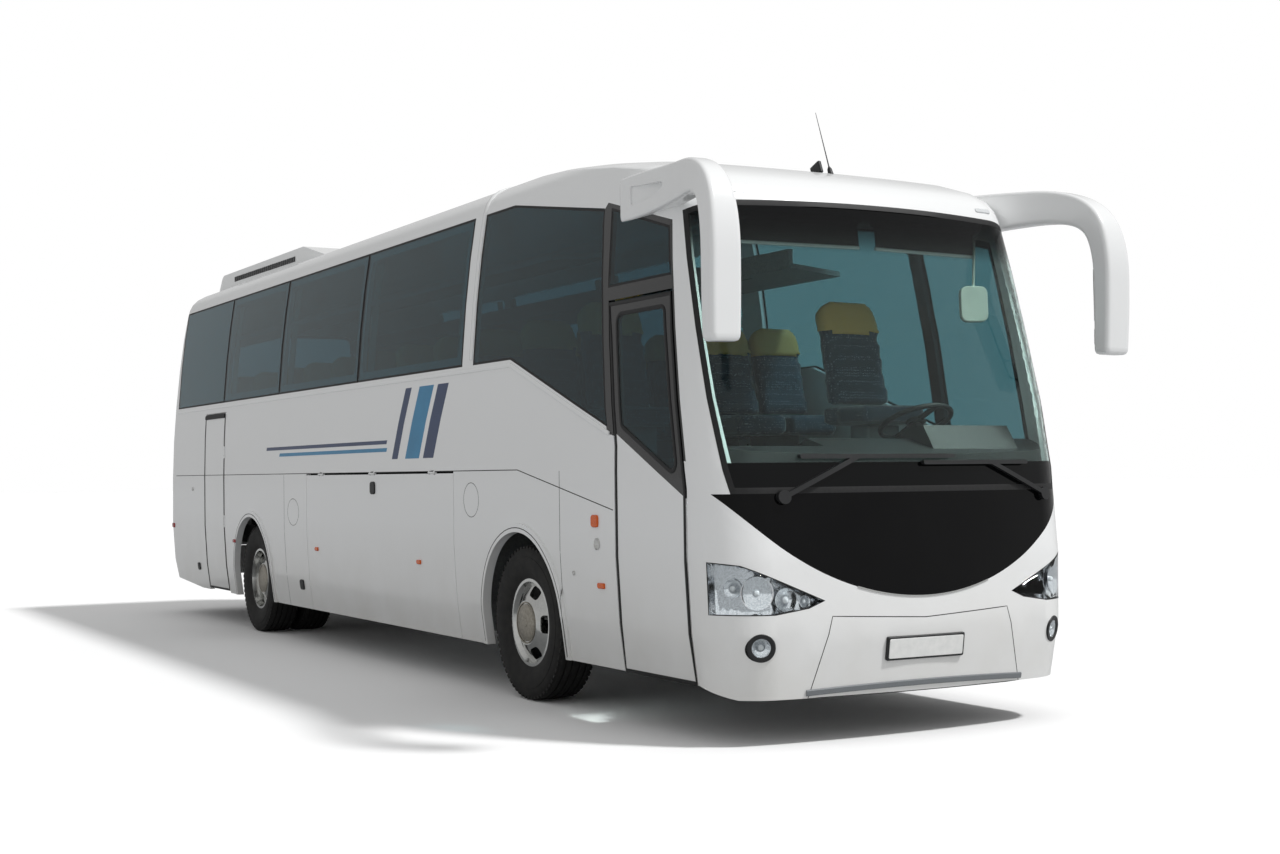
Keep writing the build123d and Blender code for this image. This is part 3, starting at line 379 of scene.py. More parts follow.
def to_mesh(shape, name):
    """The mesh of a bmesh, without the normals that came packed with a solid."""
    mesh = bpy.data.meshes.new(name)
    shape.to_mesh(mesh)
    shape.free()
    if "custom_normal" in mesh.attributes:
        mesh.attributes.remove(mesh.attributes["custom_normal"])
    return mesh


def skinned(node, shape, finish):
    """Puts a smooth piece, made from a welded copy, in the place of its solid."""
    mesh = to_mesh(shape, node + "_skin")
    smooth(mesh)
    piece = link(node + "_skin", mesh, finish, body_of[node])
    calm(piece)
    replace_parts(piece, node)
    return piece


def dress(node, finish):
    """Puts a smooth, welded copy of a solid in its place."""
    return skinned(node, welded(node), finish)


DRESSED = (
    (white_enamel, "white_paint", (
        "roof", "skirt_left", "skirt_right", "front_panel", "bumper_panel", "rear_panel", "service_door",
        "luggage_flap_left", "luggage_flap_right", "engine_lid", "air_conditioner")),
    (door_enamel, "white_paint", ("front_door",)),
    (black_gelcoat, "black_plastic", ("front_mask", "roof_hatches")),
    (screen_glass, "tinted_glass", ("windscreen",)),
    (pane_glass, "tinted_glass", ("side_glass", "rear_window", "front_door_glass")),
    (grained_abs, "black_plastic", ("dashboard", "steering_wheel", "wipers")),
    (chassis_steel, "dark_steel", (
        "chassis_frame", "engine", "front_axle", "rear_axle", "knuckle_left", "knuckle_right", "door_arms",
        "seat_pedestals")),
    (seal_rubber, "black_rubber", ("air_springs",)),
    (floor_vinyl, "grey_plastic", ("saloon_floor", "cab_floor")),
    (lining_felt, "grey_plastic", ("luggage_bay", "luggage_racks")),
)
for finish, slot, nodes in DRESSED:
    for node in nodes:
        dress(node, finish)
print("dressed", sum(len(nodes) for _, _, nodes in DRESSED), "solids")

# %% [markdown]
# ## Side walls
# Behind the edge of each pane the wall is sprayed black, as the ceramic border would hide it, and its inner
# face is lined with felt. A ray from each face tells which is which: one that meets glass just outside is
# border, and one that looks inwards is lining.

# %% Side walls with borders and lining
WALL_FINISHES = (wall_enamel, border_enamel, lining_felt)
glass_shape = welded("side_glass")
glass_tree = BVHTree.FromBMesh(glass_shape)
glass_shape.free()


def wall_finish(centre, normal, side):
    """Index of the finish for one face of a side wall."""
    if glass_tree.ray_cast(centre, Vector((0, side, 0)), 0.03)[0] is not None:
        return 1
    return 2 if normal.y * side < -0.5 else 0


for side in SIDES:
    node = "side_wall_" + SIDE_NAME[side]
    shape = welded(node)
    for face in shape.faces:
        face.material_index = wall_finish(face.calc_center_median(), face.normal, side)
    wall = skinned(node, shape, WALL_FINISHES)
    print(node, [sum(p.material_index == i for p in wall.data.polygons) for i in range(3)])

# %% [markdown]
# ## Trim that lies on the skin
# Seals, mouldings and seams all follow a line on the curved skin. A ray finds the skin under each point of
# the line, and one function sweeps a low rounded bead along it. The rim of a pane is read from its own
# outer faces, so the seals need no sizes of their own beyond width and height.

# %% Finding the skin
SHELL = (
    "roof", "side_wall_left", "side_wall_right", "skirt_left", "skirt_right", "front_panel", "bumper_panel",
    "front_mask", "front_lamps", "rear_panel", "rear_lamps", "rear_window", "engine_lid", "windscreen",
    "side_glass", "front_door", "front_door_glass", "service_door", "luggage_flap_left", "luggage_flap_right",
)
shell = bmesh.new()
for node in SHELL:
    shell.from_mesh(frame["nodes"][node].data)
skin_tree = BVHTree.FromBMesh(shell)
shell.free()


def cast(start, direction):
    """Point and normal of the first skin that a ray meets."""
    spot, normal, _, _ = skin_tree.ray_cast(Vector(start), Vector(direction))
    if spot is None:
        raise ValueError(f"no skin along {direction} from {start}")
    return spot, normal if normal.dot(Vector(direction)) < 0 else -normal


def on_side(side):
    """A function that finds the skin of one side at (x, z)."""
    return lambda x, z: cast((x, side * 3, z), (0, -side, 0))


def on_nose(y, z):
    return cast((NOSE_X + 1, y, z), (-1, 0, 0))


def on_tail(y, z):
    return cast((TAIL_X - 1, y, z), (1, 0, 0))


def on_roof(x, y):
    return cast((x, y, 6), (0, 0, -1))


print("skin of", len(SHELL), "solids")

# %% Beads along a line
TRACE_STEP = 0.05
RIM_STEP = 0.02
BEAD_SINK = 0.003


def loft(shape, rings, closed=False):
    """Faces between rings of points. A closed row of rings joins its ends, an open one is capped."""
    count = len(rings[0])
    for low, high in zip(rings, rings[1:] + rings[:1] if closed else rings[1:]):
        for k in range(count):
            j = (k + 1) % count
            shape.faces.new((low[k], low[j], high[j], high[k]))
    if not closed:
        shape.faces.new(rings[0][::-1])
        shape.faces.new(rings[-1])


def finished(shape, name, finish, body="body", angle=35):
    """Closes a bmesh into a piece with outward normals."""
    bmesh.ops.recalc_face_normals(shape, faces=shape.faces)
    mesh = to_mesh(shape, name)
    smooth(mesh, angle)
    return link(name, mesh, finish, body)


def rounded(outline, radius, steps=6):
    """A closed outline with its corners rounded."""
    path = []
    count = len(outline)
    for i in range(count):
        before, here, after = (Vector(outline[(i + k) % count]) for k in (-1, 0, 1))
        back, on = (before - here).normalized(), (after - here).normalized()
        reach = min(radius, 0.45 * (before - here).length, 0.45 * (after - here).length)
        for k in range(steps + 1):
            t = k / steps
            path.append(tuple(here + back * reach * (1 - t) ** 2 + on * reach * t**2))
    return path


def rectangle(width, height):
    """Corners of a rectangle round the origin."""
    wide, tall = width / 2, height / 2
    return (-wide, -tall), (wide, -tall), (wide, tall), (-wide, tall)


def trace(outline, place, closed=True):
    """Points and normals on the skin along an outline."""
    corners = list(outline) + ([outline[0]] if closed else [])
    line = []
    for start, stop in zip(corners, corners[1:]):
        runs = max(1, ceil(hypot(stop[0] - start[0], stop[1] - start[1]) / TRACE_STEP))
        for k in range(runs):
            t = k / runs
            line.append(place(start[0] + t * (stop[0] - start[0]), start[1] + t * (stop[1] - start[1])))
    if not closed:
        line.append(place(*corners[-1]))
    return line


def bead(shape, line, width, height, closed=True, shift=0.0):
    """Sweeps a low rounded bead along a line on the skin. shift moves it sideways."""
    left = ((-0.5, -BEAD_SINK), (-0.5, height * 0.6), (-0.36, height))
    profile = left + tuple((-u, v) for u, v in left[::-1])
    count = len(line)
    rings = []
    for i, (spot, normal) in enumerate(line):
        before = line[i - 1][0] if closed or i else spot
        after = line[(i + 1) % count][0] if closed or i < count - 1 else spot
        across = (after - before).cross(normal).normalized()
        rings.append(
            [shape.verts.new(spot + across * (shift + u * width) + normal * v) for u, v in profile]
        )
    loft(shape, rings, closed)


def beads(name, lines, width, height, finish, body="body", closed=True):
    """One piece of trim made of beads along several lines."""
    shape = bmesh.new()
    for line in lines:
        bead(shape, line, width, height, closed)
    return finished(shape, name, finish, body, 40)


def rubber_lines(name, lines, width, height, body="body", closed=True):
    """Rubber beads along several lines."""
    return beads(name, lines, width, height, seal_rubber, body, closed)


def rims(node, faces_out):
    """Closed lines round the outer faces of a solid, one for each rim, thinned to a few points."""
    shape = welded(node)
    outer = {f for f in shape.faces if faces_out(f)}
    edges = [e for e in shape.edges if sum(f in outer for f in e.link_faces) == 1]
    beside = {}
    for e in edges:
        for v in e.verts:
            beside.setdefault(v, []).append(e)
    loops = []
    left = dict.fromkeys(edges)
    while left:
        edge = next(iter(left))
        del left[edge]
        first, here = edge.verts
        loop = [first, here]
        while here is not first:
            step = [e for e in beside[here] if e in left]
            if not step:
                break
            del left[step[0]]
            here = step[0].other_vert(here)
            loop.append(here)
        line = []
        for v in loop[:-1]:
            normal = sum((f.normal for f in v.link_faces if f in outer), Vector()).normalized()
            if not line or (v.co - line[-1][0]).length > RIM_STEP:
                line.append((v.co.copy(), normal))
        if len(line) > 3:
            loops.append(line)
    shape.free()
    return loops


def inward(line):
    """Sign of the sideways shift that moves a bead towards the middle of its rim."""
    middle = sum((spot for spot, _ in line), Vector()) / len(line)
    total = 0.0
    for (a, normal), (b, _) in zip(line, line[1:]):
        total += (b - a).cross(normal).dot(middle - a)
    return 1 if total > 0 else -1


def seals(name, node, faces_out, width, height):
    """Rubber seals just inside each rim of a solid."""
    shape = bmesh.new()
    for line in rims(node, faces_out):
        bead(shape, line, width, height, shift=inward(line) * width * 0.5)
    return finished(shape, name, seal_rubber, body_of[node], 40)


print("bead tools ready")


# %% Seals of the glass and the lip of the front mask
def ahead(face):
    return face.normal.x > 0.03


def astern(face):
    return face.normal.x < -0.03


def abeam(face):
    return face.normal.y * face.calc_center_median().y > 0.5


seals("windscreen_seal", "windscreen", ahead, 0.034, 0.0012)
seals("side_glass_seals", "side_glass", abeam, 0.016, 0.001)
seals("rear_window_seal", "rear_window", astern, 0.03, 0.0012)
seals("door_glass_seal", "front_door_glass", abeam, 0.02, 0.0012)
MASK_LIP_HALF = 0.48
mask_rim = max(rims("front_mask", ahead), key=len)
mask_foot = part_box("front_mask")[0].z + 0.12
mask_lip = [point for point in mask_rim if abs(point[0].y) < MASK_LIP_HALF and point[0].z < mask_foot]
mask_lip.sort(key=lambda point: point[0].y)
beads("mask_lip", [mask_lip], 0.010, 0.005, wheel_steel, closed=False)
print("seals made, mask lip points", len(mask_lip))

# %% [markdown]
# ## Mouldings and seams of the sides
# Below the windows a raised moulding follows the dropped front pane. Along the crease that divides wall and
# skirt
# runs a fine dark rubber line: painted shade, the crease's shadow line laid along the flush joint of the
# panels.
# Upright seams part the skirt, and a dark line runs round the lip of each wheel arch.

# %% Side lines
SILL_Z = 2.26
MOULDING_Z = SILL_Z - 0.035
CAP_X = TAIL_X + 0.39
BAND_REAR_X = CAP_X + 0.02
DOOR_REAR_X = FRONT_AXLE_X + 1.35
LIP_R = 0.629
ARC_STEPS = 32

sill_line = (
    (BAND_REAR_X, MOULDING_Z), (FRONT_AXLE_X - 0.15, MOULDING_Z), (DOOR_REAR_X - 0.06, 1.725)
)
crease_line = ((CAP_X, CREASE_Z), (FRONT_AXLE_X, CREASE_Z), (DOOR_REAR_X - 0.02, 1.272))
mouldings, creases, lips, seams = [], [], [], []
for side in SIDES:
    place = on_side(side)
    mouldings.append(trace(sill_line, place, closed=False))
    creases.append(trace(crease_line, place, closed=False))
    for x in (FRONT_AXLE_X + 0.62, REAR_AXLE_X + 1.06):
        seams.append(trace(((x, SKIRT_Z + 0.01), (x, CREASE_Z - 0.01)), place, closed=False))
    for axle_x in (FRONT_AXLE_X, REAR_AXLE_X):
        angles = [pi * k / ARC_STEPS for k in range(ARC_STEPS + 1)]
        arc = [(axle_x - LIP_R * cos(a), HUB_Z + LIP_R * sin(a)) for a in angles]
        rear_foot, front_foot = ((axle_x + end * LIP_R, SKIRT_Z + 0.02) for end in (-1, 1))
        lips.append(trace([rear_foot] + arc + [front_foot], place, closed=False))
beads("sill_mouldings", mouldings, 0.03, 0.008, white_enamel, closed=False)
# painted shade: a fine dark rubber line stands for the shadow line along the crease
rubber_lines("crease_seam_shadow_lines", creases, 0.006, 0.0008, closed=False)
rubber_lines("skirt_seams", seams, 0.005, 0.0006, closed=False)
rubber_lines("arch_lip_grooves", lips, 0.006, 0.0008, closed=False)
print("side lines", len(mouldings) + len(creases) + len(lips) + len(seams))

# %% [markdown]
# ## Small shapes
# Two helpers make most fittings: one turns a profile round an axis, as on a lathe, and one raises a rounded
# plate with a chamfered edge from the skin.


# %% Turned shapes and plates
def turned(shape, profile, origin, axis, segments=40, ring=False):
    """Turns (radius, height) pairs round an axis. A ring's profile closes on itself."""
    along = Vector(axis).normalized()
    east = along.orthogonal().normalized()
    north = along.cross(east)
    rings = []
    for radius, height in profile:
        centre = Vector(origin) + along * height
        if radius < 1e-6:
            rings.append([shape.verts.new(centre)])
            continue
        angles = [2 * pi * k / segments for k in range(segments)]
        rings.append([shape.verts.new(centre + radius * (cos(a) * east + sin(a) * north)) for a in angles])
    pairs = list(zip(rings, rings[1:])) + ([(rings[-1], rings[0])] if ring else [])
    for low, high in pairs:
        for k in range(segments):
            j = (k + 1) % segments
            corners = [low[k % len(low)], low[j % len(low)], high[j % len(high)], high[k % len(high)]]
            shape.faces.new(list(dict.fromkeys(corners)))


def rod(shape, radius, start, along, segments):
    """A round rod from a start, as long as its direction."""
    long = along.length
    turned(shape, ((0, 0), (radius, 0), (radius, long), (0, long)), start, along, segments)


def plate(shape, spot, normal, up, width, height, depth, corner, sink=0.004):
    """Raises a rounded plate with a chamfered edge from a spot on the skin."""
    normal = Vector(normal).normalized()
    across = Vector(up).cross(normal).normalized()
    upward = normal.cross(across)
    edge = min(depth * 0.4, 0.004)
    outline = rounded(rectangle(width, height), corner)
    rings = []
    for inset, level in ((0, -sink), (0, depth - edge), (edge, depth)):
        wide, tall = 1 - 2 * inset / width, 1 - 2 * inset / height
        base = spot + normal * level
        rings.append([shape.verts.new(base + across * u * wide + upward * v * tall) for u, v in outline])
    loft(shape, rings)


print("lathe and plate tools ready")

# %% [markdown]
# ## Front lamps
# The solid lamp is opened up: its outer faces become a 4 mm clear lens and the rest a thin tray, with
# metallised bowls and bulbs between them. The fog lamps sit in black rings.


# %% Lenses, trays and bowls
def opened(node, faces_out, keep_outer, name):
    """A mesh of the outer faces of a solid, or of all the others."""
    shape = welded(node)
    drop = [f for f in shape.faces if faces_out(f) != keep_outer]
    bmesh.ops.delete(shape, geom=drop, context="FACES")
    return to_mesh(shape, name)


def walled(piece, thickness):
    """Gives a sheet a thickness, inwards if it is positive."""
    wall = piece.modifiers.new("wall", "SOLIDIFY")
    wall.thickness = thickness
    wall.offset = -1


lens_mesh = opened("front_lamps", ahead, True, "front_lamp_lenses")
lens = link("front_lamp_lenses", lens_mesh, lens_plastic, "body")
smooth(lens.data, 30)
walled(lens, 0.004)
tray_mesh = opened("front_lamps", ahead, False, "front_lamp_trays")
tray = link("front_lamp_trays", tray_mesh, reflector, "body")
walled(tray, 0.0015)
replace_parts(lens, "front_lamps")
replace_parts(tray, "front_lamps")

# out from the middle, height, radius
BOWLS = ((1.055, 0.835, 0.088), (0.895, 0.797, 0.062), (0.785, 0.785, 0.03), (1.165, 0.86, 0.05))
FOG_LAMP = (1.035, 0.54, 0.05)
FOG_RING = ((0.052, -0.004), (0.054, 0.001), (0.066, 0.004), (0.076, 0.003), (0.079, -0.004))
bowls, bulbs, bezels = bmesh.new(), bmesh.new(), bmesh.new()
for side in SIDES:
    for out, z, r in BOWLS + (FOG_LAMP,):
        spot, normal = on_nose(side * out, z)
        bowl = ((0, -0.036), (r * 0.4, -0.031), (r * 0.8, -0.017), (r, -0.007), (r + 0.003, -0.007),
                (r * 0.8 + 0.003, -0.021), (r * 0.4, -0.036), (0, -0.041))
        turned(bowls, bowl, spot, normal, 36)
        b = min(0.016, r * 0.3)
        bulb = ((0, -0.037), (b, -0.037), (b, -0.018), (b * 0.6, -0.012), (0, -0.01))
        turned(bulbs, bulb, spot, normal, 20)
    turned(bezels, FOG_RING, *on_nose(side * FOG_LAMP[0], FOG_LAMP[1]), 44, ring=True)
finished(bowls, "lamp_bowls", reflector)
finished(bulbs, "lamp_bulbs", white_lens)
finished(bezels, "fog_lamp_rings", grained_abs)
seals("front_lamp_seals", "front_lamps", ahead, 0.006, 0.0008)
print("lamp bowls", 2 * len(BOWLS) + 2)

# %% [markdown]
# ## Number plates and bumper
# The plates are blank reflective sheet on a black backing. A grey moulded lip closes the foot of the bumper.

# %% Plates, bumper seam and lip
FRONT_PLATE_Z, REAR_PLATE_Z = 0.503, 0.60
PLATE_W, PLATE_H, PLATE_EDGE = 0.52, 0.11, 0.024
LIP_HALF, LIP_END_Z, LIP_BOW, LIP_STEPS = 0.76, 0.285, 0.018, 12
backing, faces = bmesh.new(), bmesh.new()
for spot, normal in (on_nose(0, FRONT_PLATE_Z), on_tail(0, REAR_PLATE_Z)):
    plate(
        backing, spot, normal, UPRIGHT, PLATE_W + PLATE_EDGE, PLATE_H + PLATE_EDGE, 0.012, 0.012, sink=0.02
    )
    plate(faces, spot + normal * 0.011, normal, UPRIGHT, PLATE_W, PLATE_H, 0.004, 0.01, sink=0.002)
finished(backing, "plate_backings", grained_abs)
finished(faces, "blank_plates", blank_plate)
rubber_lines("bumper_seam", rims("bumper_panel", ahead), 0.005, 0.0006)
shares = [k / LIP_STEPS - 1 for k in range(2 * LIP_STEPS + 1)]
lip_path = [(LIP_HALF * share, LIP_END_Z + LIP_BOW * (1 - share**2)) for share in shares]
lip_line = trace(lip_path, on_nose, closed=False)
beads("bumper_lip", [lip_line], 0.034, 0.01, grey_abs, closed=False)
print("plates and lip made")

# %% [markdown]
# ## Doors
# The front door and the service door are framed by rubber that moves with them. The front door's frame is
# broad, and the service door wears a thick bar along its top.

# %% Rubber frames
SEAL_INSET = 0.012
BAR_DROP = 0.02
seals("front_door_seal", "front_door", abeam, 0.024, 0.004)
x0, x1 = REAR_AXLE_X - 1.67 + SEAL_INSET, REAR_AXLE_X - 0.92 - SEAL_INSET
z0, z1 = SKIRT_Z + 0.02 + SEAL_INSET, 2.155 - SEAL_INSET
door_rim = trace(((x0, z0), (x1, z0), (x1, z1), (x0, z1)), on_side(RIGHT))
rubber_lines("service_door_seal", [door_rim], 0.02, 0.004, "service_door")
door_top = trace(((x0, z1 - BAR_DROP), (x1, z1 - BAR_DROP)), on_side(RIGHT), closed=False)
rubber_lines("service_door_bar", [door_top], 0.04, 0.012, "service_door", closed=False)
print("door frames made")

# %% [markdown]
# ## Lamps, locks and handles of the sides
# Amber and red markers, square handles and round locks stand along the skirt. Each is a small plate or a
# turned disc on the skin. Those on a luggage flap ride on it.

# %% Side fittings
# ahead of the front axle, height, width, tall, finish, slot, and what carries it
SIDE_PLATES = (
    (-4.128, 0.863, 0.075, 0.032, amber_lens, "red_lens", "body"),
    (-1.761, 0.843, 0.075, 0.032, amber_lens, "red_lens", "flap"),
    (1.157, 0.814, 0.085, 0.034, amber_lens, "red_lens", "body"),
    (-6.62, 0.862, 0.075, 0.032, red_lens, "red_lens", "body"),
    (-9.06, 0.969, 0.075, 0.05, red_lens, "red_lens", "body"),
    (1.10, 1.203, 0.085, 0.075, amber_lens, "red_lens", "body"),
    (-2.711, 1.396, 0.10, 0.10, grained_abs, "black_plastic", "flap"),
    (-4.60, 0.529, 0.10, 0.09, grained_abs, "black_plastic", "body"),
    (-8.075, 0.551, 0.08, 0.08, grained_abs, "black_plastic", "body"),
)
# ahead of the front axle, height, radius
LOCKS = ((1.123, 1.065, 0.036), (0.80, 0.876, 0.014), (-8.231, 1.375, 0.022))
# ahead of the front axle, height, half width, half height
FILLER_FLAPS = ((-0.764, 1.316, 0.13, 0.12), (-4.766, 1.175, 0.16, 0.12))
OVAL_STEPS = 28

by_piece = {}
for ahead_x, z, wide, tall, finish, slot, carrier in SIDE_PLATES:
    for side in SIDES:
        body = "luggage_flap_" + SIDE_NAME[side] if carrier == "flap" else "body"
        spot, normal = on_side(side)(FRONT_AXLE_X + ahead_x, z)
        shape = by_piece.setdefault((finish, slot, body), bmesh.new())
        plate(shape, spot, normal, UPRIGHT, wide, tall, 0.012, min(wide, tall) * 0.3)
for (finish, slot, body), shape in by_piece.items():
    finished(shape, f"side_{finish.name}_{body}", finish, body)

locks = bmesh.new()
for side in SIDES:
    for ahead_x, z, r in LOCKS:
        lock = ((0, -0.004), (r, -0.004), (r, 0.006), (r * 0.8, 0.009), (r * 0.5, 0.006), (0, 0.007))
        turned(locks, lock, *on_side(side)(FRONT_AXLE_X + ahead_x, z), 32)
finished(locks, "locks", wheel_steel)

ovals = []
for side in SIDES:
    for ahead_x, z, wide, tall in FILLER_FLAPS:
        angles = [2 * pi * k / OVAL_STEPS for k in range(OVAL_STEPS)]
        oval = [(FRONT_AXLE_X + ahead_x + wide * cos(a), z + tall * sin(a)) for a in angles]
        ovals.append(trace(oval, on_side(side)))
rubber_lines("filler_flap_seams", ovals, 0.004, 0.0006)
print("side fittings", 2 * len(SIDE_PLATES))

# %% [markdown]
# ## Blocks by Geometry Nodes
# Two small trees repeat a block: one round a wheel, for the shoulder lugs of the tread, and one along a
# line, for louvres and panels. Both put the block on points, realise the copies and give them a material.


# %% Building and running a tree
def held(name, mesh):
    """An object that stands in the scene while modifiers run on it."""
    holder = bpy.data.objects.new(name, mesh)
    bpy.context.scene.collection.objects.link(holder)
    return holder


def evaluated(holder):
    """A plain mesh of an object with its modifiers applied."""
    graph = bpy.context.evaluated_depsgraph_get()
    return bpy.data.meshes.new_from_object(holder.evaluated_get(graph))


def new_tree(name, sockets):
    """A tree with its inputs, their identifiers by name, and the outputs of its input node."""
    tree = bpy.data.node_groups.new(name, "GeometryNodeTree")
    inputs = {}
    for label, kind in sockets + (("Material", "Material"),):
        socket = tree.interface.new_socket(label, in_out="INPUT", socket_type="NodeSocket" + kind)
        inputs[label] = socket.identifier
    tree.interface.new_socket("Geometry", in_out="OUTPUT", socket_type="NodeSocketGeometry")
    return tree, inputs, add_node(tree, "NodeGroupInput").outputs


def close_tree(tree, blocks, material):
    """Realises the copies, gives them their material and hands them out."""
    real = add_node(tree, "GeometryNodeRealizeInstances", {"Geometry": blocks})
    sockets = {"Geometry": real.outputs["Geometry"], "Material": material}
    coloured = add_node(tree, "GeometryNodeSetMaterial", sockets)
    add_node(tree, "NodeGroupOutput", {"Geometry": coloured.outputs["Geometry"]})


def ring_tree():
    """Blocks on a circle in the wheel's plane, each turned to point along the radius."""
    sockets = (("Count", "Int"), ("Radius", "Float"), ("Block", "Vector"), ("Place", "Vector"))
    tree, inputs, start = new_tree("blocks_round_a_wheel", sockets)
    circle = add_node(
        tree, "GeometryNodeMeshCircle", {"Vertices": start["Count"], "Radius": start["Radius"]}
    )
    block = add_node(tree, "GeometryNodeMeshCube", {"Size": start["Block"]})
    place = add_node(tree, "GeometryNodeInputPosition")
    turn = add_node(
        tree,
        "FunctionNodeAlignEulerToVector",
        {"Vector": place.outputs["Position"]},
        axis="X",
        pivot_axis="Z",
    )
    copies = {
        "Points": circle.outputs["Mesh"],
        "Instance": block.outputs["Mesh"],
        "Rotation": turn.outputs["Rotation"],
    }
    on_ring = add_node(tree, "GeometryNodeInstanceOnPoints", copies).outputs["Instances"]
    stand = {"Geometry": on_ring, "Rotation": (pi / 2, 0, 0), "Translation": start["Place"]}
    stood = add_node(tree, "GeometryNodeTransform", stand)
    close_tree(tree, stood.outputs["Geometry"], start["Material"])
    return tree, inputs


def row_tree():
    """Blocks along a line."""
    sockets = (("Count", "Int"), ("Start", "Vector"), ("Step", "Vector"), ("Block", "Vector"))
    tree, inputs, start = new_tree("blocks_in_a_row", sockets)
    path = {"Count": start["Count"], "Start Location": start["Start"], "Offset": start["Step"]}
    line = add_node(tree, "GeometryNodeMeshLine", path)
    block = add_node(tree, "GeometryNodeMeshCube", {"Size": start["Block"]})
    copies = {"Points": line.outputs["Mesh"], "Instance": block.outputs["Mesh"]}
    on_line = add_node(tree, "GeometryNodeInstanceOnPoints", copies)
    close_tree(tree, on_line.outputs["Instances"], start["Material"])
    return tree, inputs


RING, ROW = ring_tree(), row_tree()


def from_tree(shape, tree_and_inputs, finish, **values):
    """Runs a tree once and adds its plain mesh to a bmesh."""
    tree, inputs = tree_and_inputs
    holder = held("tree_holder", bpy.data.meshes.new("tree_holder"))
    nodes = holder.modifiers.new("tree", "NODES")
    nodes.node_group = tree
    for name, value in values.items():
        nodes[inputs[name]] = value
    nodes[inputs["Material"]] = finish
    mesh = evaluated(holder)
    shape.from_mesh(mesh)
    bpy.data.objects.remove(holder)
    bpy.data.meshes.remove(mesh)


print("trees", len(bpy.data.node_groups))

# %% [markdown]
# ## Wheels
# Polished covers are smooth welded copies of the wheel solids. The tyres are turned afresh with grooves
# and ribs, inside the form of their solids, and the ring tree sets the lugs round both shoulders.

# %% Tyres, covers, hub discs and lugs
# How far a hub's face stands out from the tyre's flank
HUB_STANDS = {"front": -0.005, "rear": -0.065}
TYRE_R = HUB_Z - 0.0005
TYRE_HALF = 0.145
RIM_R = 0.29
GROOVE = 0.012
LUG_OUT = 0.124
LUGS = {"Count": 64, "Radius": TYRE_R - 0.014, "Block": (0.018, 0.03, 0.012)}
# Half of the tyre's section from the bead to the crown: out from the middle plane, radius
SIDEWALL = (
    (0.110, RIM_R), (0.128, RIM_R + 0.03), (0.140, RIM_R + 0.07), (0.1445, RIM_R + 0.11),
    (0.1425, RIM_R + 0.145), (0.1395, RIM_R + 0.147), (0.1385, RIM_R + 0.17), (0.130, TYRE_R - 0.022),
    (0.112, TYRE_R - 0.004),
)
HUB_DISC = (
    (0, -0.002), (0.122, -0.002), (0.122, 0.004), (0.118, 0.006), (0.03, 0.006), (0.026, 0.009), (0, 0.009)
)
HUB_RING = ((0.128, -0.002), (0.129, 0.006), (0.138, 0.006), (0.14, -0.002))
tread = [(0.105, 0)]
for middle in (0.075, 0.027):
    tread += [(middle + 0.007, 0), (middle + 0.004, GROOVE), (middle - 0.004, GROOVE), (middle - 0.007, 0)]
half_section = list(SIDEWALL) + [(y, TYRE_R - deep) for y, deep in tread]
section = [(r, y) for y, r in half_section] + [(r, -y) for y, r in half_section[::-1]]
for place in ("front", "rear"):
    for side in SIDES:
        wheel = f"{place}_{SIDE_NAME[side]}"
        node = "tyre_" + wheel
        body = body_of[node]
        low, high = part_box(node)
        axle_x = (low.x + high.x) / 2
        middles = [low.y + TYRE_HALF] if place == "front" else [low.y + TYRE_HALF, high.y - TYRE_HALF]
        rubber, lugs, discs = bmesh.new(), bmesh.new(), bmesh.new()
        for y in middles:
            turned(rubber, section, (axle_x, y, HUB_Z), (0, 1, 0), 96, ring=True)
            for shoulder in (-1, 1):
                from_tree(lugs, RING, tyre_rubber, Place=(axle_x, y + shoulder * LUG_OUT, HUB_Z), **LUGS)
        tyre = finished(rubber, node + "_turned", tyre_rubber, body)
        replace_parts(tyre, node)
        finished(lugs, node + "_lugs", tyre_rubber, body)
        dress("wheel_" + wheel, wheel_steel)
        outer_y = high.y if side == LEFT else low.y
        hub = (axle_x, outer_y + side * HUB_STANDS[place], HUB_Z)
        turned(discs, HUB_DISC, hub, (0, side, 0), 56)
        turned(discs, HUB_RING, hub, (0, side, 0), 56, ring=True)
        finished(discs, "hub_disc_" + wheel, hub_disc, body)
print("wheels made")

# %% [markdown]
# ## Mirrors, roof and aerials
# Each mirror is one moulding, from a tall root with a blind slot, along a bent arm to a slab of a head. Its
# sections come from a short table whose corners are cut again and again, which gives a soft bend with no
# overshoot. The heads carry silvered glass in black frames on their rear faces. A raised rib runs up the
# white pillar and over the roof, and marker lamps, a whip aerial and a fin stand above the screen.

# %% Mirror arms and heads
# ahead of the front axle, out, height, width across, depth of the section
MIRROR_ARM = (
    (1.31, 1.135, 3.125, 0.11, 0.27),
    (1.60, 1.150, 3.125, 0.11, 0.27),
    (2.00, 1.200, 3.120, 0.11, 0.23),
    (2.40, 1.305, 3.105, 0.12, 0.20),
    (2.64, 1.362, 3.010, 0.15, 0.165),
    (2.735, 1.378, 2.790, 0.185, 0.14),
    (2.735, 1.378, 2.450, 0.19, 0.13),
    (2.728, 1.374, 2.208, 0.185, 0.12),
)
MIRROR_ROUND = 0.032
CORNER_CUTS = 3
# Rounding of the two ends: push along the path, share of the section
ROOT_END = ((-0.03, 0.62), (-0.022, 0.86), (0, 1))
HEAD_END = ((0, 1), (0.018, 0.97), (0.032, 0.88), (0.038, 0.72))
# Blind slot in the root, as an outline ahead of the axle and up
SLOT = ((1.44, 3.075), (1.70, 3.078), (1.90, 3.118), (1.91, 3.138), (1.88, 3.152), (1.44, 3.19))
SLOT_DEEP = 0.035
ROOT_X = FRONT_AXLE_X + 1.75


def softened(rows):
    """Cuts the corners of a row of sections again and again, which rounds a path without overshoot."""
    for _ in range(CORNER_CUTS):
        cut = [rows[0]]
        for here, there in zip(rows, rows[1:]):
            cut += [here * 0.75 + there * 0.25, here * 0.25 + there * 0.75]
        rows = cut + [rows[-1]]
    return rows


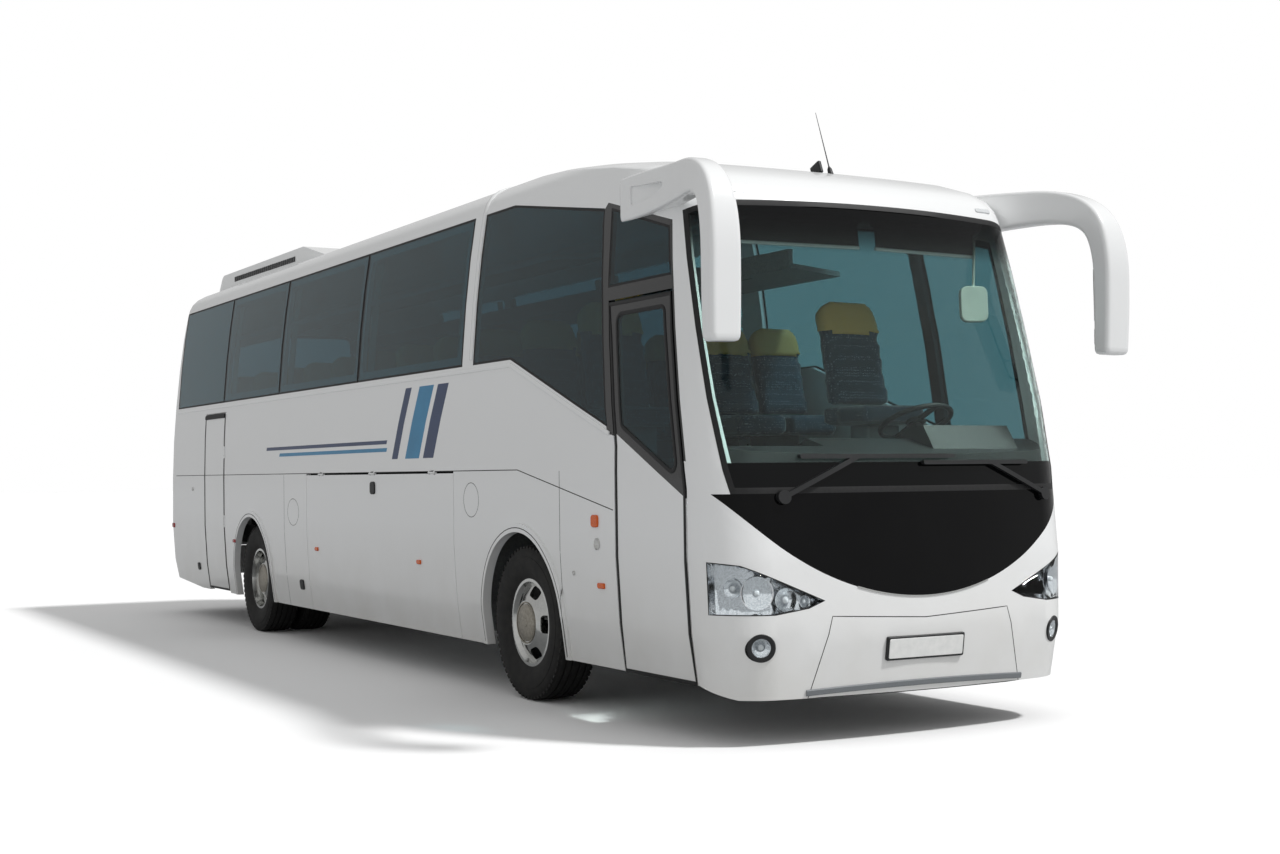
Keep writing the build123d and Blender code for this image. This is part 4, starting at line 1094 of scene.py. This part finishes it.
def mirror_shape(side):
    """One arm and head, from its root on the body to the foot of the head, with rounded ends."""
    rows = softened([Vector((FRONT_AXLE_X + row[0], side * row[1]) + row[2:]) for row in MIRROR_ARM])
    shape = bmesh.new()
    rings = []
    last = len(rows) - 1
    ends = {0: ROOT_END, last: HEAD_END}
    for i, row in enumerate(rows):
        along = (rows[min(i + 1, last)] - rows[max(i - 1, 0)]).to_3d().normalized()
        across = (Vector((0, 1, 0)) - along * along.y).normalized()
        upward = along.cross(across)
        outline = rounded(rectangle(row[3], row[4]), MIRROR_ROUND)
        for push, share in ends.get(i, ((0, 1),)):
            spot = row.to_3d() + along * push
            rings.append([shape.verts.new(spot + (across * u + upward * v) * share) for u, v in outline])
    loft(shape, rings)
    bmesh.ops.recalc_face_normals(shape, faces=shape.faces)
    return shape


def slot_cutter(side, arm):
    """The block that cuts the blind slot into an arm."""
    shape = bmesh.new()
    skin = max(abs(v.co.y) for v in arm.verts if v.co.x < ROOT_X)
    outline = rounded(ahead_of_axle(*SLOT), 0.02, 4)
    depths = (skin - SLOT_DEEP, skin + 0.1)
    loft(shape, [[shape.verts.new((x, side * y, z)) for x, z in outline] for y in depths])
    bmesh.ops.recalc_face_normals(shape, faces=shape.faces)
    return shape


mirror_pair = bmesh.new()
for side in SIDES:
    arm = mirror_shape(side)
    cutter = held("cutter", to_mesh(slot_cutter(side, arm), "cutter"))
    holder = held("arm", to_mesh(arm, "arm"))
    cut = holder.modifiers.new("slot", "BOOLEAN")
    cut.object = cutter
    cut.solver = "EXACT"
    mirror_pair.from_mesh(evaluated(holder))
    for each in (cutter, holder):
        bpy.data.objects.remove(each)
mirror_tree = BVHTree.FromBMesh(mirror_pair)
mirrors = finished(mirror_pair, "mirror_arms", white_enamel, angle=50)
calm(mirrors)
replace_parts(mirrors, "mirrors")
print("mirror faces", len(mirrors.data.polygons))

# %% Mirror glass
HEAD_OUT = 1.376
BEHIND_HEADS_X = NOSE_X - 0.6
# height, tall
MIRROR_PANES = ((2.53, 0.34), (2.28, 0.12))
frames, glasses = bmesh.new(), bmesh.new()
for side in SIDES:
    for z, tall in MIRROR_PANES:
        behind = Vector((BEHIND_HEADS_X, side * HEAD_OUT, z))
        spot, normal, _, _ = mirror_tree.ray_cast(behind, Vector((1, 0, 0)))
        plate(frames, spot, normal, UPRIGHT, 0.152, tall + 0.012, 0.008, 0.03, sink=0.02)
        plate(glasses, spot + normal * 0.007, normal, UPRIGHT, 0.138, tall, 0.003, 0.025, sink=0.002)
finished(frames, "mirror_frames", grained_abs)
finished(glasses, "mirror_glass", mirror_silver)
print("mirror panes", 2 * len(MIRROR_PANES))

# %% Rib, marker lamps and aerials
RIB_X = FRONT_AXLE_X - 0.80
RIB_MIDDLE_Z = 2.3
RIB_STEPS = 72
WHIP_X, WHIP_LEAN, WHIP_TALL = FRONT_AXLE_X + 1.80, -0.15, 0.40
FIN_X = WHIP_X - 0.14
rib = []
for k in range(RIB_STEPS + 1):
    angle = pi * k / RIB_STEPS
    toward = Vector((0, -cos(angle), sin(angle)))
    rib.append(cast(Vector((RIB_X, 0, RIB_MIDDLE_Z)) + toward * 4, -toward))
beads("pillar_rib", [rib], 0.045, 0.012, white_enamel, closed=False)

markers = bmesh.new()
for side in SIDES:
    plate(markers, *on_nose(side * 0.90, 3.085), UPRIGHT, 0.13, 0.028, 0.006, 0.013)
finished(markers, "roof_markers", white_lens)

aerials = bmesh.new()
lean = Vector((WHIP_LEAN, 0, WHIP_TALL))
tip = lean.length
whip = ((0, -0.01), (0.018, -0.01), (0.014, 0.03), (0.004, 0.05), (0.0015, tip), (0, tip))
turned(aerials, whip, on_roof(WHIP_X, 0)[0], lean, 16)
plate(aerials, on_roof(FIN_X, 0)[0], (-0.4, 0, 1), (1, 0, 0), 0.026, 0.10, 0.055, 0.012, sink=0.02)
finished(aerials, "aerials", grained_abs)
print("rib points", len(rib))

# %% [markdown]
# ## Rear lamps
# Each tall cluster is one red moulding with three round lamps let into it, amber above red above white.

# %% Rear clusters
REAR_LAMPS = ((amber_lens, "amber", 1.42), (red_lens, "red", 1.19), (white_lens, "white", 0.96))
REAR_LAMP_OUT, REAR_LAMP_R, DOME_STEPS = 1.01, 0.058, 6
REAR_RING = ((0.056, -0.004), (0.058, 0.008), (0.066, 0.008), (0.07, -0.004))
angles = [pi / 2 * k / DOME_STEPS for k in range(DOME_STEPS)]
dome = [(REAR_LAMP_R * cos(a), 0.002 + 0.012 * sin(a)) for a in angles]
rear_lamp = [(0, -0.006), (REAR_LAMP_R, -0.006)] + dome + [(0, 0.014)]
dress("rear_lamps", red_lens)
rings = bmesh.new()
for finish, label, z in REAR_LAMPS:
    lamps = bmesh.new()
    for side in SIDES:
        spot, normal = on_tail(side * REAR_LAMP_OUT, z)
        turned(lamps, rear_lamp, spot, normal, 32)
        turned(rings, REAR_RING, spot, normal, 36, ring=True)
    finished(lamps, f"rear_{label}_lamps", finish)
finished(rings, "rear_lamp_rings", reflector)
seals("rear_lamp_seals", "rear_lamps", astern, 0.006, 0.0008)
print("rear lamps", 2 * len(REAR_LAMPS))

# %% [markdown]
# ## A plain livery
# Three slanted bars and two fine lines of coloured film brighten the sides. Film lies on the paint, so each
# shape is cut from a flat sheet, bisected into a grid and laid on the skin point by point.

# %% Film on the skin
FILM_LIFT, FILM_STEP = 0.0008, 0.025
BAR_LOW_Z, BAR_HIGH_Z, BAR_SLANT = 1.62, 2.16, 0.26
LINE_FRONT_X, LINE_TALL, LINE_SLANT = 0.86, 0.03, 0.015


def film(shape, outline, place):
    """A flat outline laid on the skin as a thin sheet with a back."""
    sheet = bmesh.new()
    sheet.faces.new([sheet.verts.new((u, v, 0)) for u, v in outline])
    for axis in (0, 1):
        values = [corner[axis] for corner in outline]
        cut = Vector((1 - axis, axis, 0))
        for k in range(1, int((max(values) - min(values)) / FILM_STEP) + 1):
            everything = sheet.verts[:] + sheet.edges[:] + sheet.faces[:]
            level = cut * (min(values) + k * FILM_STEP)
            bmesh.ops.bisect_plane(sheet, geom=everything, plane_co=level, plane_no=cut)
    pairs = {}
    for v in sheet.verts:
        spot, normal = place(v.co.x, v.co.y)
        pairs[v] = [shape.verts.new(spot + normal * lift) for lift in (FILM_LIFT, -FILM_LIFT)]
    for f in sheet.faces:
        shape.faces.new([pairs[v][0] for v in f.verts])
        shape.faces.new([pairs[v][1] for v in reversed(f.verts[:])])
    for e in sheet.edges:
        if len(e.link_faces) == 1:
            a, b = e.verts
            shape.faces.new((pairs[a][0], pairs[b][0], pairs[b][1], pairs[a][1]))
    sheet.free()


def slanted(x0, x1, z0, z1, slant):
    """Outline of a bar that leans forward."""
    return (x0, z0), (x1, z0), (x1 + slant, z1), (x0 + slant, z1)


navy, blue = bmesh.new(), bmesh.new()
for side in SIDES:
    for shape, x, wide in ((navy, 1.62, 0.20), (blue, 1.26, 0.28), (navy, 0.98, 0.12)):
        film(shape, slanted(x, x + wide, BAR_LOW_Z, BAR_HIGH_Z, BAR_SLANT), on_side(side))
    for shape, z, tail_x in ((navy, 1.74, -2.3), (blue, 1.68, -1.9)):
        film(shape, slanted(tail_x, LINE_FRONT_X, z, z + LINE_TALL, LINE_SLANT), on_side(side))
finished(navy, "navy_film", navy_vinyl)
finished(blue, "blue_film", blue_vinyl)
print("film laid")

# %% [markdown]
# ## Rows of slats and panels
# The row tree sets the louvres along the roof cooler and the service panels under the racks.

# %% Cooler louvres and rack panels
cooler_low, cooler_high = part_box("air_conditioner")
rack_low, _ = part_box("luggage_racks")
louvres, panels = bmesh.new(), bmesh.new()
for side in SIDES:
    start = (cooler_low.x + 0.65, side * (cooler_high.y - 0.001), cooler_high.z - 0.085)
    from_tree(
        louvres, ROW, grained_abs, Count=30, Start=start, Step=(0.07, 0.0, -0.0006), Block=(0.05, 0.012, 0.05)
    )
    start = (rack_low.x + 0.5, side * 0.86, rack_low.z + 0.044)
    from_tree(panels, ROW, grained_abs, Count=11, Start=start, Step=(0.78, 0, 0), Block=(0.26, 0.14, 0.02))
finished(louvres, "cooler_louvres", grained_abs)
finished(panels, "rack_service_panels", grained_abs)
print("rows made")

# %% [markdown]
# ## Seats
# The seats are soft, so their plain solids are replaced. One cushion and one back are puffed up as cloth with
# a little pressure inside, their travel is capped, and seams are pressed in afterwards. Every other seat is
# the same pad moved to its own solid's place, as the maker's are all alike.

# %% Puffed pads
VOXEL = 0.024
SHRINK = 0.010
PUFF_CAP = 0.012
PUFF_FRAMES = 18
SEAM_HALF, SEAM_DEEP = 0.03, 0.007


def box_of(points):
    """Lowest and highest corner round a list of points."""
    return [Vector([pick(p[i] for p in points) for i in range(3)]) for pick in (min, max)]


def islands(node):
    """A welded copy of a node, and the box and vertex numbers of each separate solid in it."""
    shape = welded(node)
    left = set(shape.verts)
    found = []
    while left:
        stack = [left.pop()]
        group = list(stack)
        while stack:
            for e in stack.pop().link_edges:
                for v in e.verts:
                    if v in left:
                        left.discard(v)
                        stack.append(v)
                        group.append(v)
        low, high = box_of([v.co for v in group])
        found.append((low, high, {v.index for v in group}))
    found.sort(key=lambda item: (round(item[0].x, 3), round(item[0].y, 3)))
    return shape, found


def blown_up(holder, start):
    """The mesh of a holder after a short cloth run with pressure, each point's travel capped."""
    cloth = holder.modifiers.new("air", "CLOTH")
    cloth.settings.quality = 4
    cloth.settings.use_pressure = True
    cloth.settings.uniform_pressure_force = 4
    cloth.settings.effector_weights.gravity = 0
    for moment in range(1, PUFF_FRAMES + 1):
        bpy.context.scene.frame_set(moment)
    blown = evaluated(holder)
    bpy.context.scene.frame_set(1)
    for before, after in zip(start.vertices, blown.vertices):
        move = after.co - before.co
        if move.length > PUFF_CAP:
            after.co = before.co + move.normalized() * PUFF_CAP
    return blown


def puffed(node, channels):
    """One crowned pad from the first solid of a node, and the moves that carry it to all the others.
    channels are shares of the pad's height or depth at which a seam is pressed in."""
    shape, found = islands(node)
    lowest, highest, first = found[0]
    bmesh.ops.delete(shape, geom=[v for v in shape.verts if v.index not in first], context="VERTS")
    bmesh.ops.recalc_face_normals(shape, faces=shape.faces)
    shape.normal_update()
    middle = (lowest + highest) / 2
    size = highest - lowest
    for v in shape.verts:
        v.co = middle + Vector([(v.co - middle)[i] * (1 - 2 * SHRINK / size[i]) for i in range(3)])
    holder = held("pad_holder", to_mesh(shape, node + "_pad"))
    remesh = holder.modifiers.new("voxels", "REMESH")
    remesh.mode = "VOXEL"
    remesh.voxel_size = VOXEL
    pad = evaluated(holder)
    holder.modifiers.clear()
    holder.data = pad
    pad = blown_up(holder, pad)
    bpy.data.objects.remove(holder)
    axis = 2 if size.z > size.x else 0
    for v in pad.vertices:
        share = (v.co[axis] - lowest[axis]) / size[axis]
        for channel in channels:
            near = abs(share - channel) * size[axis]
            if near < SEAM_HALF:
                v.co += v.normal * -SEAM_DEEP * (1 - (near / SEAM_HALF) ** 2)
    moves = [(low + high) / 2 - middle for low, high, _ in found]
    return pad, moves


def soft(shape, name, finish):
    """A piece that is smooth all over, from a bmesh."""
    mesh = to_mesh(shape, name)
    mesh.shade_smooth()
    return link(name, mesh, finish, "body")


def spread(name, mesh, moves, finish):
    """The same pad at every seat, as one piece."""
    shape = bmesh.new()
    for move in moves:
        copy = mesh.copy()
        copy.transform(Matrix.Translation(move))
        shape.from_mesh(copy)
        bpy.data.meshes.remove(copy)
    return soft(shape, name, finish)


def skin_of(mesh, wanted, lift):
    """The part of a pad's skin that is wanted, lifted off it."""
    shape = bmesh.new()
    shape.from_mesh(mesh)
    shape.normal_update()
    lifted = {v: v.co + v.normal * lift for v in shape.verts}
    drop = [f for f in shape.faces if not wanted(f.calc_center_median(), f.normal)]
    bmesh.ops.delete(shape, geom=drop, context="FACES")
    for v in shape.verts:
        v.co = lifted[v]
    return to_mesh(shape, "pad_skin")


print("pad tools ready")

# %% Passenger seats
COVER_TALL, SHELL_TOP = 0.19, 0.21
cushion, cushion_moves = puffed("seat_cushions", (0.32,))
back, back_moves = puffed("seat_backs", (0.3, 0.64))
cushions = spread("seat_cushion_pads", cushion, cushion_moves, moquette)
backs = spread("seat_back_pads", back, back_moves, moquette)
for piece, node in ((cushions, "seat_cushions"), (backs, "seat_backs")):
    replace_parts(piece, node)
back_top = max(v.co.z for v in back.vertices)
cover = skin_of(back, lambda spot, _: spot.z > back_top - COVER_TALL, 0.003)
covers = spread("head_covers", cover, back_moves, tan_cover)
walled(covers, -0.003)
rear = skin_of(back, lambda spot, normal: normal.x < -0.6 and spot.z < back_top - SHELL_TOP, 0.004)
shells = spread("seat_shells", rear, back_moves, grey_abs)
walled(shells, -0.005)
print("seats", len(back_moves), "pad faces", len(cushion.polygons), len(back.polygons))

# %% Crew seats
# front edge ahead of the axle, middle across, floor
CREW = ((1.64, 0.60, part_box("cab_floor")[1].z), (1.00, -0.82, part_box("saloon_floor")[1].z))
# lowest and highest corner of each pad, from the front edge, the middle and the floor
CREW_CUSHION = ((-0.475, -0.235, 0.335), (-0.005, 0.235, 0.455))
CREW_BACK = ((-0.595, -0.225, 0.47), (-0.355, 0.225, 1.145))
CREW_COVER_TALL = 0.20


def fitted(mesh, place, corners):
    """A pad scaled and moved into a box that is measured from a place."""
    copy = mesh.copy()
    old_low, old_high = box_of([v.co for v in mesh.vertices])
    low, high = (place + Vector(corner) for corner in corners)
    for v in copy.vertices:
        shares = [(v.co[i] - old_low[i]) / (old_high[i] - old_low[i]) for i in range(3)]
        v.co = [low[i] + shares[i] * (high[i] - low[i]) for i in range(3)]
    return copy


crew_pads, crew_covers, stands = bmesh.new(), bmesh.new(), bmesh.new()
for ahead_x, y, base in CREW:
    place = Vector((FRONT_AXLE_X + ahead_x, y, base))
    rest = fitted(back, place, CREW_BACK)
    for mesh in (fitted(cushion, place, CREW_CUSHION), rest):
        crew_pads.from_mesh(mesh)
    crest = max(v.co.z for v in rest.vertices)
    crew_covers.from_mesh(skin_of(rest, lambda spot, _: spot.z > crest - CREW_COVER_TALL, 0.003))
    foot = place + Vector((-0.23, 0, 0))
    plate(stands, foot, UPRIGHT, (0, 1, 0), 0.20, 0.26, 0.33, 0.03, sink=-0.001)
crew = soft(crew_pads, "crew_seat_pads", moquette)
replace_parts(crew, "crew_seats")
walled(soft(crew_covers, "crew_head_covers", tan_cover), -0.003)
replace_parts(finished(stands, "crew_seat_stands", grey_abs), "crew_seats")
print("crew seats", len(CREW))

# %% [markdown]
# ## Curtains
# Pale curtains hang gathered at the edges of the clear panes. Each is one sheet: a wave across, straight
# down, and set just inside the wall, so its cut width is the length of the wave.

# %% Curtains at the panes
GATHERED, FOLDS, FOLD_DEEP, WAVE_STEPS, DROP_STEPS = 0.13, 5, 0.009, 50, 8
EDGE_GAP, WALL_GAP = 0.085, 0.062
waves = [FOLD_DEEP * sin(2 * pi * FOLDS * k / WAVE_STEPS) for k in range(WAVE_STEPS + 1)]
_, panes = islands("side_glass")
hung = 0
for low, high, _ in panes:
    side = RIGHT if high.y < 0 else LEFT
    clear = high.x < FRONT_AXLE_X + 1.2 and low.x > BAND_REAR_X + 0.5 and high.x - low.x > 1.0
    if not clear:
        continue
    top, bottom = high.z - 0.10, max(low.z, SILL_Z) + 0.06
    starts = [low.x + EDGE_GAP]
    if high.x <= FRONT_AXLE_X:
        starts.append(high.x - EDGE_GAP - GATHERED)
    for start_x in starts:
        shape = bmesh.new()
        rows = []
        for r in range(DROP_STEPS + 1):
            z = top + (bottom - top) * r / DROP_STEPS
            wall_y = abs(on_side(side)(start_x + GATHERED / 2, z)[0].y) - WALL_GAP
            points = [(GATHERED * k / WAVE_STEPS, wall_y + wave) for k, wave in enumerate(waves)]
            rows.append([shape.verts.new((start_x + x, side * y, z)) for x, y in points])
        for upper, lower in zip(rows, rows[1:]):
            for k in range(WAVE_STEPS):
                shape.faces.new((upper[k], lower[k], lower[k + 1], upper[k + 1]))
        cut = sum((a.co - b.co).length for a, b in zip(rows[0], rows[0][1:]))
        curtain = soft(shape, f"curtain_{hung}", curtain_cloth)
        hung += 1
print("curtains", hung)

# %% [markdown]
# ## Behind the windscreen
# Two roller blinds hang above the crew with pale rails along their lower edges, and a shell-backed mirror for
# watching the saloon hangs in the driver's corner. They follow the bow of the screen, a little behind it.

# %% Blinds and inner mirror
BLIND_Z, BLIND_BACK, BLIND_TALL = 2.80, 0.13, 0.16
BLIND_ENDS = ((-0.86, -0.06), (0.06, 0.86))
LOOKER_Y, LOOKER_Z, LOOKER_BACK = 0.80, 2.50, 0.16
STALK = Vector((-0.04, 0.05, 0.42))
rails, blinds, looker = bmesh.new(), bmesh.new(), bmesh.new()
for ends in BLIND_ENDS:
    start, stop = (on_nose(y, BLIND_Z)[0] - Vector((BLIND_BACK, 0, 0)) for y in ends)
    along = stop - start
    rod(rails, 0.011, start, along, 16)
    rod(blinds, 0.028, start + Vector((-0.02, 0, BLIND_TALL)), along, 20)
    face = along.cross(Vector((0.02, 0, -BLIND_TALL)))
    middle = (start + stop) / 2 + Vector((-0.006, 0, BLIND_TALL / 2))
    plate(blinds, middle, face, UPRIGHT, along.length, BLIND_TALL, 0.0015, 0.002, sink=0.0005)
spot = on_nose(LOOKER_Y, LOOKER_Z)[0] - Vector((LOOKER_BACK, 0, 0))
plate(looker, spot, (0.9, -0.35, 0.1), UPRIGHT, 0.17, 0.22, 0.03, 0.05, sink=0.01)
rod(looker, 0.008, spot, STALK, 12)
finished(rails, "blind_rails", white_lens)
finished(blinds, "blinds", grained_abs)
finished(looker, "inner_mirror", grey_shell)
print("screen fittings made")

# %% [markdown]
# ## Camera, floor and light
# The camera stands at eye height, about 9 m off the right front corner. The floor is pale, the sky is a soft
# white dome that is brighter ahead of the coach, and one lamp stands high off its left front. To the camera
# alone the floor is white, so that it runs into the white behind it and keeps the shadow.

# %% Camera
EYE = (13.578, -6.104, 1.481)
LOOK = Vector((-0.87240607, 0.48799416, 0.02773716)).normalized()
ACROSS = Vector((0.48791147, 0.87283428, -0.01013459)).normalized()
UP = ACROSS.cross(LOOK)
camera_data = bpy.data.cameras.new("eye_height")
camera_data.sensor_width = 36
camera_data.lens = 48.25
camera = held("eye_height", camera_data)
camera.matrix_world = Matrix.Translation(EYE) @ Matrix((ACROSS, UP, -LOOK)).transposed().to_4x4()
bpy.context.scene.camera = camera
print("camera", EYE)

# %% Floor, sky and lamp
SKY_BEHIND, SKY_AHEAD = 0.45, 0.62
LAMP_STRENGTH, LAMP_FROM = 2.3, Vector((0.50, 0.46, 1.0))
bpy.context.scene.view_settings.view_transform = "Standard"
floor_finish, tree, shader, _ = new_finish("pale_studio_floor", Roughness=0.95)
path = add_node(tree, "ShaderNodeLightPath")
tone = mixed(tree, path.outputs["Is Camera Ray"], linear("#B4B5B6"), linear("#FBFBFB"))
tree.links.new(tone, shader.inputs["Base Color"])
bpy.ops.mesh.primitive_plane_add(size=400, location=(0, 0, -0.001))
floor = bpy.context.object
floor.name = "studio_floor"
floor.data.materials.append(floor_finish)

sky = bpy.data.worlds.new("studio_sky")
bpy.context.scene.world = sky
sky.use_nodes = True
tree = sky.node_tree
path = add_node(tree, "ShaderNodeLightPath")
seen = calc(tree, "MAXIMUM", path.outputs["Is Camera Ray"], path.outputs["Is Transmission Ray"])
coords = add_node(tree, "ShaderNodeTexCoord").outputs["Generated"]
toward = add_node(tree, "ShaderNodeSeparateXYZ", {"Vector": coords})
dome = ranged(tree, toward.outputs["X"], -0.6, 0.9, SKY_BEHIND, SKY_AHEAD)
backdrop = tree.nodes["Background"]
backdrop.inputs["Color"].default_value = (1, 1, 1, 1)
tree.links.new(mixed(tree, seen, dome, 1.0, "FLOAT"), backdrop.inputs["Strength"])

lamp_data = bpy.data.lights.new("high_lamp", "SUN")
lamp_data.energy = LAMP_STRENGTH
lamp_data.angle = radians(6)
lamp = held("high_lamp", lamp_data)
lamp.matrix_world = LAMP_FROM.to_track_quat("Z", "Y").to_matrix().to_4x4()
print("sky", SKY_BEHIND, SKY_AHEAD, "lamp", LAMP_STRENGTH)
